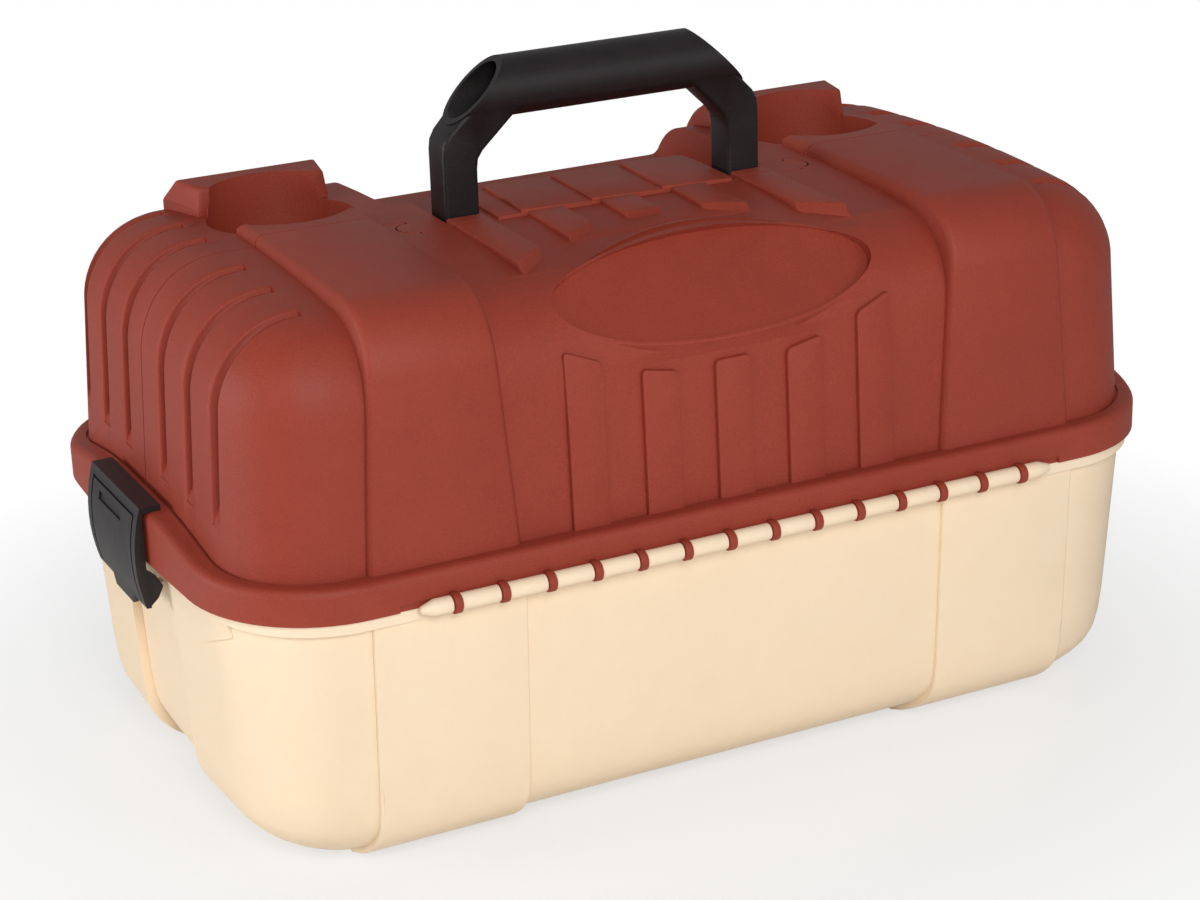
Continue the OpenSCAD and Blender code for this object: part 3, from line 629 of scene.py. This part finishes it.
def wells(name, skin):
    """The cups, the trough and the leg sockets, grown by a skin for the wall round them."""
    floor_z = WELL - (2.5 if skin else 0)
    made = []
    trough = box(name, (-TROUGH_X - skin, TROUGH_X + skin), (TROUGH_Y - skin, 260), (floor_z, WELL_OPEN))
    made.append(round_edges(trough, lambda p: max(p[0].z, p[1].z) < floor_z + 1, 4, 4))
    for s in (-1, 1):
        cup = rod("cup", (s * CUP_X, CUP_Y, floor_z), (s * CUP_X, CUP_Y, WELL_OPEN), CUP_R + skin, 96)
        made.append(round_edges(cup, lambda p: max(p[0].z, p[1].z) < floor_z + 1, 5, 5))
        low, high = sorted((s * (SOCKET[0] - skin), s * (SOCKET[1] + skin)))
        made.append(box("socket", (low, high), (-12.4 - skin, 35 + skin), (floor_z, WELL_OPEN)))
    return made


rear_hollow = boolean(hollow("rear_hollow"), wells("skin", WELL_SKIN), "DIFFERENCE")
boolean(rear_lid, [rear_hollow], "DIFFERENCE")
boolean(rear_lid, wells("well", 0), "DIFFERENCE")
hinge_relief(rear_lid, 1)
rear_lid = joined("rear_lid_shell", [rear_lid, rings("rings", 1)])
finish_piece(rear_lid, "rear_lid", "lid_plastic", "rear_lid")

# %% [markdown]
# ## The base
# The tub leans outwards to its rim so that it leaves the mould. The lids' straps run on down its sides as raised
# bands, wrap under its bottom edge and end as the feet.

# %% Tub
BASE_X, BASE_Y, BASE_H = 255.5, 142.0, 148.0
BASE_CORNER, BASE_BOW = 56.0, 3.5
DRAFT_X, DRAFT_Y, DRAFT_START = 5.5, 4.5, 40
# Heights over the underside, and how far the outline is drawn in there
FOOT = ((0, 45), (3.5, 35.5), (7.5, 27.5), (11.5, 20.8), (16, 14.4),
        (20.5, 9.5), (25, 5.6), (31, 2.4), (39, 0.6), (52, 0))
CROSS_CUTS = (-80, -60, -40, -20, 0, 20, 40, 60, 80)


def foot_inset(z):
    """How far the outline has drawn in at height z: a steep facet and then a tight curve into the wall."""
    for (z0, in0), (z1, in1) in zip(FOOT, FOOT[1:]):
        if z <= z1:
            return in0 + (in1 - in0) * (max(z, z0) - z0) / (z1 - z0)
    return 0


def tub_block(name, out, bottom, top=BASE_H):
    """The tub's outer form, set out by a few millimetres for what is raised or in for its hollow."""
    o = box(name, (-BASE_X - out, BASE_X + out), (-BASE_Y - out, BASE_Y + out), (bottom, top))
    round_edges(o, lambda p: abs(p[0].z - p[1].z) > 9, BASE_CORNER + out, 14)
    slice_at(o, 1, CROSS_CUTS)
    slice_at(o, 2, [bottom + z for z, _ in FOOT[1:]] + [95])
    core_x, core_y = BASE_X - BASE_CORNER, BASE_Y - BASE_CORNER
    def place(x, y, z):
        cx, cy = max(-core_x, min(core_x, x)), max(-core_y, min(core_y, y))
        reach = math.hypot(x - cx, y - cy)
        keep = 1 - foot_inset(z - bottom) / reach if reach > 1 else 1
        x, y = cx + (x - cx) * keep, cy + (y - cy) * keep
        x = bowed(x, y, BASE_BOW)
        t = max(0, (z - DRAFT_START) / (BASE_H - DRAFT_START))
        x += math.copysign(DRAFT_X * t, x) * min(1, abs(x) / 200)
        y += math.copysign(DRAFT_Y * t, y) * min(1, abs(y) / 90)
        return x, y, z
    return reshape(o, place)


def band(name, low, high):
    """A raised band cut from a tub that is a little larger, with its long edges rounded."""
    o = tub_block(name, 2.5, 0, 143)
    boolean(o, [box("zone", (low, high), (-200, 200), (-5, 150))], "INTERSECT")
    return round_edges(o, lambda p: abs(p[0].x - p[1].x) < 0.01
                       and min(abs(p[0].x - low), abs(p[0].x - high)) < 0.01, 1.4, 3)


def end_channel(s):
    """The cutter for the shallow channel that runs down each end, under the latch."""
    low, high = sorted((s * 190, s * 290))
    o = box("channel", (low, high), (-38, 38), (-5, 144))
    return boolean(o, [tub_block("core", -4.5, 6)], "DIFFERENCE")


def smile_panel(s, side):
    """A thin raised panel under the rim, whose lower edge climbs towards the corner."""
    o = tub_block("panel", 1.5, 2.5, 146)
    low, high = sorted((s * 200, s * 300))
    near, far = sorted((side * 38, side * 109))
    zone = box("zone", (low, high), (near, far), (108, 150))
    slice_at(zone, 1, [side * y for y in (50, 62, 74, 86, 98)])
    reshape(zone, lambda x, y, z: (x, y, z if z > 120 else 107 + 27 * (max(0, abs(y) - 38) / 71) ** 1.15))
    return boolean(o, [zone], "INTERSECT")


tub = tub_block("tub", 0, 2.5)
boolean(tub, [band("band", -198, -118), band("band", 118, 198)], "UNION")
boolean(tub, [smile_panel(s, side) for s in (-1, 1) for side in (-1, 1)], "UNION")
boolean(tub, [end_channel(-1), end_channel(1)], "DIFFERENCE")
flange = box("flange", (-263.2, 263.2), (-151.2, 151.2), (142, BASE_H))
round_edges(flange, lambda p: abs(p[0].z - p[1].z) > 5, 59, 14)
slice_at(flange, 1, CROSS_CUTS)
reshape(flange, lambda x, y, z: (bowed(x, y, BASE_BOW), y, z))
boolean(tub, [flange], "UNION")
tub_hollow = tub_block("tub_hollow", -7.5, 9, 160)
boolean(tub, [tub_hollow], "DIFFERENCE")
print("tub:", len(tub.data.polygons), "faces")

# %% Hinge barrels, latch ears, arm bosses and pins
BARREL_R, BARREL_GAP, BARREL_END, TIP = 4.2, 0.4, 9, 7.5
LATCH_PIN_X, LATCH_PIN_Z = 268.5, 127
ARM_PIVOT_Z = 138.304
ROD_END = 176


def barrels(name, s):
    """The base's barrels between the lid's rings, each with a web to the flange, and a tapered tip at both ends."""
    inset = RING_HALF + BARREL_GAP
    spans = [(x0 + inset, x1 - inset) for x0, x1 in zip(RING_X[:-1], RING_X[1:])]
    first, last = RING_X[0] - inset, RING_X[-1] + inset
    spans += [(first - BARREL_END, first), (last, last + BARREL_END)]
    pieces = []
    for x0, x1 in spans:
        o = on_hinge("barrel", s, x0, x1, BARREL_R, 36)
        round_edges(o, lambda p: abs(p[0].x - p[1].x) < 0.01, 0.5, 2)
        web = box("web", (x0 + 0.6, x1 - 0.6), (146, HINGE_Y), (HINGE_Z - BARREL_R, HINGE_Z - 1))
        if s < 0:
            reshape(web, lambda x, y, z, c=x0 + x1: (c - x, -y, z))
        pieces.append(boolean(o, [web], "UNION"))
    for x0, way in ((first - BARREL_END + 0.3, -1), (last + BARREL_END - 0.3, 1)):
        end = x0 + way * TIP
        tip = on_hinge("tip", s, x0, end, BARREL_R, 36, BORE_R)
        pieces.append(round_edges(tip, lambda p: max(abs(q.x - end) for q in p) < 0.01, 1, 3))
    return joined(name, pieces)


ears = []
for sx in (-1, 1):
    for y0, y1 in ((14, 20), (-20, -14)):
        ear = rod("ear", (sx * LATCH_PIN_X, y0, LATCH_PIN_Z), (sx * LATCH_PIN_X, y1, LATCH_PIN_Z), 3.4, 36)
        low, high = sorted((sx * 257, sx * LATCH_PIN_X))
        boolean(ear, [box("arm", (low, high), (y0, y1), (125.8, 130.4))], "UNION")
        ears.append(ear)
    for y, end in ((-120, 245), (-104, 249), (104, 249), (120, 245)):
        ears.append(rod("boss", (sx * 238, y, ARM_PIVOT_Z), (sx * end, y, ARM_PIVOT_Z), 5, 36))
base = joined("base_shell", [tub, barrels("barrels", -1), barrels("barrels", 1)] + ears)
finish_piece(base, "base", "base_plastic", "base_tub")
studs = []
for x in (-1, 1):
    for y, tip in ((-120, 243.5), (-104, 248), (104, 248), (120, 243.5)):
        o = rod("stud", (x * 237.6, y, ARM_PIVOT_Z), (x * tip, y, ARM_PIVOT_Z), 2, 24)
        studs.append(round_edges(o, lambda p: abs(p[0].x - p[1].x) < 0.01, 0.4, 2))
pins = [finish_piece(joined("arm_studs", studs), "base", "pin_steel", "arm_base_pins")]
for s, side in ((-1, "front"), (1, "rear")):
    o = on_hinge(side + "_hinge_rod", s, -ROD_END, ROD_END, 1.5, 24)
    round_edges(o, lambda p: abs(p[0].x - p[1].x) < 0.01, 0.4, 2)
    pins.append(finish_piece(o, "base", "pin_steel", side + "_hinge_pin"))

# %% [markdown]
# ## The handle
# The grip is a fat hollow tube, cut off at 45 degrees at both ends, so that its bore shows. A flat bar runs from
# each cut end down into the lid. Each bar starts as a straight block with rounded corners, and its rings of points
# are then moved on to two edge lines, which go straight up and turn in towards the grip.

# %% Handle
GRIP_Z, GRIP_R, LEG_IN, LEG_OUT, PIVOT_Z = 350.0, 15.5, 72.0, 91.0, 277.0
BORE, CUT = 12.8, 419.2  # on the plane of each cut, x and z add up to CUT
LEG_WIDENS = (1, 1, 1.01, 1.05, 1.22, 1.36)
INNER_EDGE = ((LEG_IN, PIVOT_Z), (LEG_IN, 311), (71.3, 316.4), (68.6, 320.6), (57, 332.2), (46, 343))
OUTER_EDGE = ((LEG_OUT, PIVOT_Z), (LEG_OUT, 321), (90.3, 326), (87.5, 330.8), (75, 343.3), (61.2, 357.1))


def leg(name):
    """A bar that goes straight up and then slopes in and widens to meet the grip."""
    o = box(name, (LEG_IN, LEG_OUT), (-10, 10), (0, 5))
    slice_at(o, 2, (1, 2, 3, 4))
    round_edges(o, lambda p: abs(p[0].z - p[1].z) > 0.5, 2.2, 4)
    def place(x, y, z):
        i, t = round(z), (x - LEG_IN) / (LEG_OUT - LEG_IN)
        (x0, z0), (x1, z1) = INNER_EDGE[i], OUTER_EDGE[i]
        return x0 + (x1 - x0) * t, y * LEG_WIDENS[i], z0 + (z1 - z0) * t
    reshape(o, place)
    return boolean(o, [rod("foot", (LEG_IN, 0, PIVOT_Z), (LEG_OUT, 0, PIVOT_Z), 10, 48)], "UNION")


right_leg = leg("leg")
left_leg = mirrored(right_leg, "leg", 0)
grip = rod("grip", (-90, 0, GRIP_Z), (90, 0, GRIP_Z), GRIP_R, 72)
boolean(grip, [left_leg, right_leg], "UNION")
for s in (-1, 1):
    pick(grip, "FACE", lambda p: True)
    bpy.ops.mesh.bisect(plane_co=(s * (CUT - GRIP_Z) * MM, 0, GRIP_Z * MM), plane_no=(s, 0, 1),
                        clear_outer=True, use_fill=True)
    bpy.ops.object.mode_set(mode="OBJECT")
boolean(grip, [rod("bore", (-110, 0, GRIP_Z), (110, 0, GRIP_Z), BORE, 64)], "DIFFERENCE")
boolean(grip, [rod("pivot", (-110, 0, PIVOT_Z), (110, 0, PIVOT_Z), 3.05, 24)], "DIFFERENCE")
handle = joined("handle_shell", [grip])
finish_piece(handle, "handle", "black_plastic", "handle")

# %% [markdown]
# ## The latches
# Each latch is a wide, slightly bulging plate. It turns on a pin near its foot, its top is folded over the raised
# lip of the lids, and a small tab at the bottom is there for a finger.

# %% Latch
LATCH_W, LATCH_FOOT, LATCH_TOP, LATCH_THICK = 74.6, 125.5, 177.8, 2.6
LINE_Y, LINE_DEPTH = 31.2, 0.9


def bulge(z):
    """How far the plate's outer face stands out at height z."""
    return 276.1 - 4.6 * ((z - 151) / 28) ** 2


def latch_plate():
    """The curved plate with its finger tab, the hook at its top and a cheek down each side."""
    o = box("plate", (0, 1), (-LATCH_W / 2, LATCH_W / 2), (LATCH_FOOT, LATCH_TOP))
    slice_at(o, 2, (129, 133, 139, 145, 151, 157, 163, 169, 174))
    slice_at(o, 1, (-19, -15, 12, 16))
    def place(x, y, z):
        tab = 5 if z < 126 and -16 < y < 13 else 0
        return bulge(z) - (0 if x > 0.5 else LATCH_THICK), y, z - tab
    reshape(o, place)
    boolean(o, [box("hook", (261, 271.9), (-LATCH_W / 2, LATCH_W / 2), (175, 178.4))], "UNION")
    for s in (-1, 1):
        cheek = box("side", (0, 1), tuple(sorted((s * 35.4, s * 37.2))), (LATCH_FOOT, 174))
        slice_at(cheek, 2, (130, 136, 142, 146, 160))
        reshape(cheek, lambda x, y, z: (bulge(z) - 1 if x > 0.5 else 270.8 if z > 145 else
                                        271 - 8 * math.sin(math.pi * (z - LATCH_FOOT) / 20.5), y, z))
        boolean(o, [cheek], "UNION")
    return o


def latch(name):
    """A whole latch: the plate, the fine lines pressed into its face and two knuckles for the pin."""
    o = latch_plate()
    cuts = [box("line", (0, 1), (y - 0.8, y + 0.8), (127, 174)) for y in (-LINE_Y, LINE_Y)]
    cuts.append(box("line", (0, 1), (-LINE_Y, LINE_Y), (172.4, 174)))
    cuts.append(box("panel", (0, 1), (-14, 20), (164.5, 169)))
    for c in cuts:
        slice_at(c, 2, range(133, 170, 6))
        reshape(c, lambda x, y, z: (280 if x > 0.5 else bulge(z) - LINE_DEPTH, y, z))
    boolean(o, cuts, "DIFFERENCE")
    knuckles = []
    for y0, y1 in ((21, 27), (-27, -21)):
        k = rod("knuckle", (LATCH_PIN_X, y0, LATCH_PIN_Z), (LATCH_PIN_X, y1, LATCH_PIN_Z), 3.8, 36)
        boolean(k, [box("arm", (LATCH_PIN_X, 272), (y0, y1), (LATCH_FOOT, 130))], "UNION")
        knuckles.append(k)
    return joined(name, [o] + knuckles)


right_latch = latch("right_latch_plate")
left_latch = mirrored(right_latch, "left_latch_plate", 0)
finish_piece(left_latch, "left_latch", "black_plastic", "left_latch", angle=30)
finish_piece(right_latch, "right_latch", "black_plastic", "right_latch", angle=30)

# %% [markdown]
# ## Finishes
# All the plastics come from a spark-eroded mould, which leaves an even, fine grain. The grain is a bump about a
# millimetre across; slow noise changes the colour and the shine a little, as flow and handling do. The class
# below lets shader maths be written as plain expressions.

# %% A small language for shader maths


class Wire:
    """A node output that can be used in arithmetic."""

    def __init__(self, tree, socket):
        self.tree, self.socket = tree, socket

    def node(self, kind, inputs, output=0, **settings):
        """Adds a node of a type with its settings first and then its inputs."""
        n = self.tree.nodes.new(kind)
        for key, value in settings.items():
            if key == "stops":
                while len(n.color_ramp.elements) < len(value):
                    n.color_ramp.elements.new(0.5)
                for element, (place, colour) in zip(n.color_ramp.elements, value):
                    element.position, element.color = place, colour
            else:
                setattr(n, key, value)
        for key, value in inputs.items():
            if isinstance(value, Wire):
                self.tree.links.new(value.socket, n.inputs[key])
            else:
                n.inputs[key].default_value = value
        return Wire(self.tree, n.outputs[output])

    def maths(self, operation, *values):
        return self.node("ShaderNodeMath", dict(enumerate(values)), operation=operation)

    def __add__(self, other):
        return self.maths("ADD", self, other)

    __radd__ = __add__

    def __mul__(self, other):
        return self.maths("MULTIPLY", self, other)

    __rmul__ = __mul__

    def __sub__(self, other):
        return self.maths("SUBTRACT", self, other)

    def __rsub__(self, other):
        return self.maths("SUBTRACT", other, self)

    def clamp(self, low=0.0, high=1.0):
        return self.node("ShaderNodeClamp", {0: self, 1: low, 2: high})


def linear(red, green, blue):
    """A colour as a screen shows it, 0 to 255, in the renderer's own scale."""
    share = [c / 255 for c in (red, green, blue)]
    return tuple(c / 12.92 if c <= 0.04045 else ((c + 0.055) / 1.055) ** 2.4 for c in share) + (1.0,)


def blank(name):
    """A new material with its shader, and a wire that carries object coordinates."""
    m = bpy.data.materials.new(name)
    m.use_nodes = True
    tree = m.node_tree
    shader = tree.nodes["Principled BSDF"]
    place = tree.nodes.new("ShaderNodeTexCoord")
    return m, shader, Wire(tree, place.outputs["Object"])


def noise(place, scale, detail=2.0, rough=0.5):
    return place.node("ShaderNodeTexNoise", {"Vector": place, "Scale": scale, "Detail": detail, "Roughness": rough})


def set_input(shader, name, wire):
    wire.tree.links.new(wire.socket, shader.inputs[name])


def edge_mask(place, width):
    """1 on edges that stick out, which are paled partly as wear and partly as a painted highlight, and 0 elsewhere.
    """
    geometry = place.node("ShaderNodeNewGeometry", {}, "Pointiness")
    return geometry.node("ShaderNodeMapRange", {0: geometry, 1: 0.5 + width * 0.3, 2: 0.5 + width, 3: 0.0, 4: 1.0})


# %% Moulded plastic
GRAIN_SCALE, GRAIN_DEPTH, SPECULAR = 900, 0.0004, 0.24


def plastic(name, colour, light, dark, rough, grain, mottle):
    """Grained plastic: a fine bump, slow changes of tone and shine, and paler edges that are partly wear and partly a
    painted highlight.
    """
    m, shader, place = blank(name)
    slow = noise(place, 9, 3)
    patch = noise(place, 55, 4, 0.6)
    tone = ((slow - 0.5) * 0.7 + (patch - 0.5) * 0.5) * mottle + 0.5
    shade = place.node("ShaderNodeValToRGB", {0: tone.clamp()}, stops=((0.25, dark), (0.5, colour), (0.78, light)))
    fine = noise(place, GRAIN_SCALE, 2, 0.6)
    speck = ((fine - 0.5) * 0.9 * grain + 0.5).clamp()
    speckled = place.node("ShaderNodeMix", {"Factor": 0.3 * grain, "A": shade, "B": speck}, 2, data_type="RGBA",
                          blend_type="SOFT_LIGHT")
    # Painted highlight and wear: edges that stick out are paled towards the light colour, partly as wear and partly
    # standing in for the highlight that light puts on them.
    wear_and_highlight = edge_mask(place, 0.09) * (noise(place, 160, 3) * 0.9)
    final = place.node("ShaderNodeMix", {"Factor": wear_and_highlight.clamp(0, 0.35), "A": speckled, "B": light}, 2,
                       data_type="RGBA")
    set_input(shader, "Base Color", final)
    set_input(shader, "Roughness", ((patch - 0.5) * 0.16 + (fine - 0.5) * 0.12 + rough).clamp(0.1, 0.95))
    height = fine * 0.6 + noise(place, GRAIN_SCALE * 2.3, 1) * 0.4
    bump = place.node("ShaderNodeBump", {"Strength": grain, "Distance": GRAIN_DEPTH, "Height": height})
    set_input(shader, "Normal", bump)
    shader.inputs["Specular IOR Level"].default_value = SPECULAR
    return m


brown = plastic("brown_plastic", linear(146, 57, 41), linear(160, 69, 52), linear(128, 47, 33),
                rough=0.5, grain=0.9, mottle=0.3)
cream = plastic("cream_plastic", linear(243, 220, 189), linear(248, 228, 200), linear(236, 210, 176),
                rough=0.45, grain=0.3, mottle=0.35)
black = plastic("black_plastic", linear(30, 25, 26), linear(48, 43, 44), linear(20, 17, 18),
                rough=0.4, grain=0.6, mottle=0.5)
tray_cream = plastic("tray_plastic", linear(238, 214, 172), linear(246, 226, 190), linear(228, 200, 156),
                     rough=0.38, grain=0.2, mottle=0.4)
divider_black = plastic("divider_plastic", linear(44, 40, 40), linear(60, 56, 56), linear(32, 29, 29),
                        rough=0.4, grain=0.3, mottle=0.4)

# %% Steel


def steel(name, colour, light, rough, streak):
    """Zinc-plated strip: fine streaks along the rolling direction and faint spangle."""
    m, shader, place = blank(name)
    stretched = place.node("ShaderNodeMapping", {"Vector": place, "Scale": streak})
    lines = noise(stretched, 400, 2)
    spangle = noise(place, 130, 3)
    tone = ((lines - 0.5) * 0.5 + (spangle - 0.5) * 0.5 + 0.5).clamp()
    shade = place.node("ShaderNodeMix", {"Factor": tone, "A": colour, "B": light}, 2, data_type="RGBA")
    set_input(shader, "Base Color", shade)
    set_input(shader, "Roughness", ((lines - 0.5) * 0.25 + rough).clamp(0.08, 0.9))
    set_input(shader, "Normal", place.node("ShaderNodeBump", {"Strength": 0.15, "Distance": 0.0001, "Height": lines}))
    shader.inputs["Metallic"].default_value = 1.0
    return m


arm_steel = steel("arm_steel", linear(168, 170, 172), linear(206, 208, 210), 0.34, (1, 0.1, 1))
pin_steel = steel("pin_steel", linear(186, 188, 190), linear(222, 223, 225), 0.26, (0.1, 1, 1))

# %% Give each piece its finish
FINISHES = {"lid_plastic": brown, "base_plastic": cream, "black_plastic": black, "tray_plastic": tray_cream,
            "divider_plastic": divider_black, "arm_steel": arm_steel, "pin_steel": pin_steel}


def paint(o, material):
    o.data.materials.clear()
    o.data.materials.append(material)


for o in (front_lid, rear_lid, base, handle, left_latch, right_latch, *pins):
    paint(o, FINISHES[o["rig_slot"]])
slots = {row["node"]: row["material_slot"] for row in frame["record"]["subparts"]}
for node_name, o in frame["nodes"].items():
    if not o.hide_render:
        paint(o, FINISHES[slots[node_name]])
        only(o)
        bpy.ops.object.shade_smooth_by_angle(angle=math.radians(30))
print("finishes on", len(slots), "CAD nodes")

# %% [markdown]
# ## The studio
# A pale floor, a white surround and three large soft lamps. The white behind the object comes from what the
# camera ray sees, and not from more light on the plastic.

# %% Floor and world
AMBIENT, SHEEN = 0.26, 0.2
FLOOR_SIZE, FLOOR_TONE = 14, 0.86
world = bpy.data.worlds.new("studio")
scene.world = world
world.use_nodes = True
wt = world.node_tree
sky = wt.nodes["Background"]
sky.inputs["Color"].default_value = (1, 1, 1, 1)
camera_ray = Wire(wt, wt.nodes.new("ShaderNodeLightPath").outputs["Is Camera Ray"])
glossy_ray = Wire(wt, camera_ray.socket.node.outputs["Is Glossy Ray"])
seen = camera_ray.maths("MAXIMUM", camera_ray, glossy_ray * SHEEN)
wt.links.new((seen * (1 - AMBIENT) + AMBIENT).socket, sky.inputs["Strength"])

bpy.ops.mesh.primitive_grid_add(x_subdivisions=4, y_subdivisions=4, size=FLOOR_SIZE, location=(0, 0, 0))
floor = settle(bpy.context.object, "floor")
fm, floor_shader, floor_place = blank("floor_paper")
floor_shader.inputs["Base Color"].default_value = (FLOOR_TONE, FLOOR_TONE, FLOOR_TONE, 1)
floor_shader.inputs["Roughness"].default_value = 0.9
paint(floor, fm)
ft = fm.node_tree
glow = ft.nodes.new("ShaderNodeEmission")
glow.inputs["Color"].default_value = (1, 1, 1, 1)
mixer = ft.nodes.new("ShaderNodeMixShader")
floor_ray = Wire(ft, ft.nodes.new("ShaderNodeLightPath").outputs["Is Camera Ray"])
distance = floor_place.node("ShaderNodeVectorMath", {0: floor_place}, "Value", operation="LENGTH")
fade = floor_place.node("ShaderNodeMapRange", {0: distance, 1: 0.26, 2: 0.5, 3: 0.6, 4: 1.0})
ft.links.new((fade * floor_ray).socket, mixer.inputs[0])
ft.links.new(floor_shader.outputs[0], mixer.inputs[1])
ft.links.new(glow.outputs[0], mixer.inputs[2])
ft.links.new(mixer.outputs[0], ft.nodes["Material Output"].inputs[0])

# %% Lamps


def lamp(name, place, size, power, aim=(0, 0, 0.15)):
    """A round soft lamp, in metres and watts, turned towards the middle of the box."""
    bpy.ops.object.light_add(type="AREA", location=place)
    o = bpy.context.object
    o.name = name
    o.data.shape = "DISK"
    o.data.size = size
    o.data.energy = power
    o.rotation_euler = (Vector(aim) - Vector(place)).to_track_quat("-Z", "Y").to_euler()
    return o


lamp("key", (-0.65, -1.75, 1.15), 0.7, 22.5)
lamp("left", (-2.0, 0.4, 0.42), 0.8, 17.5)
lamp("right", (0.9, -2.1, 0.7), 1.3, 7.5)
print("studio ready")

# %% Set the view transform and finish
scene.view_settings.view_transform = "Standard"
bpy.context.view_layer.update()
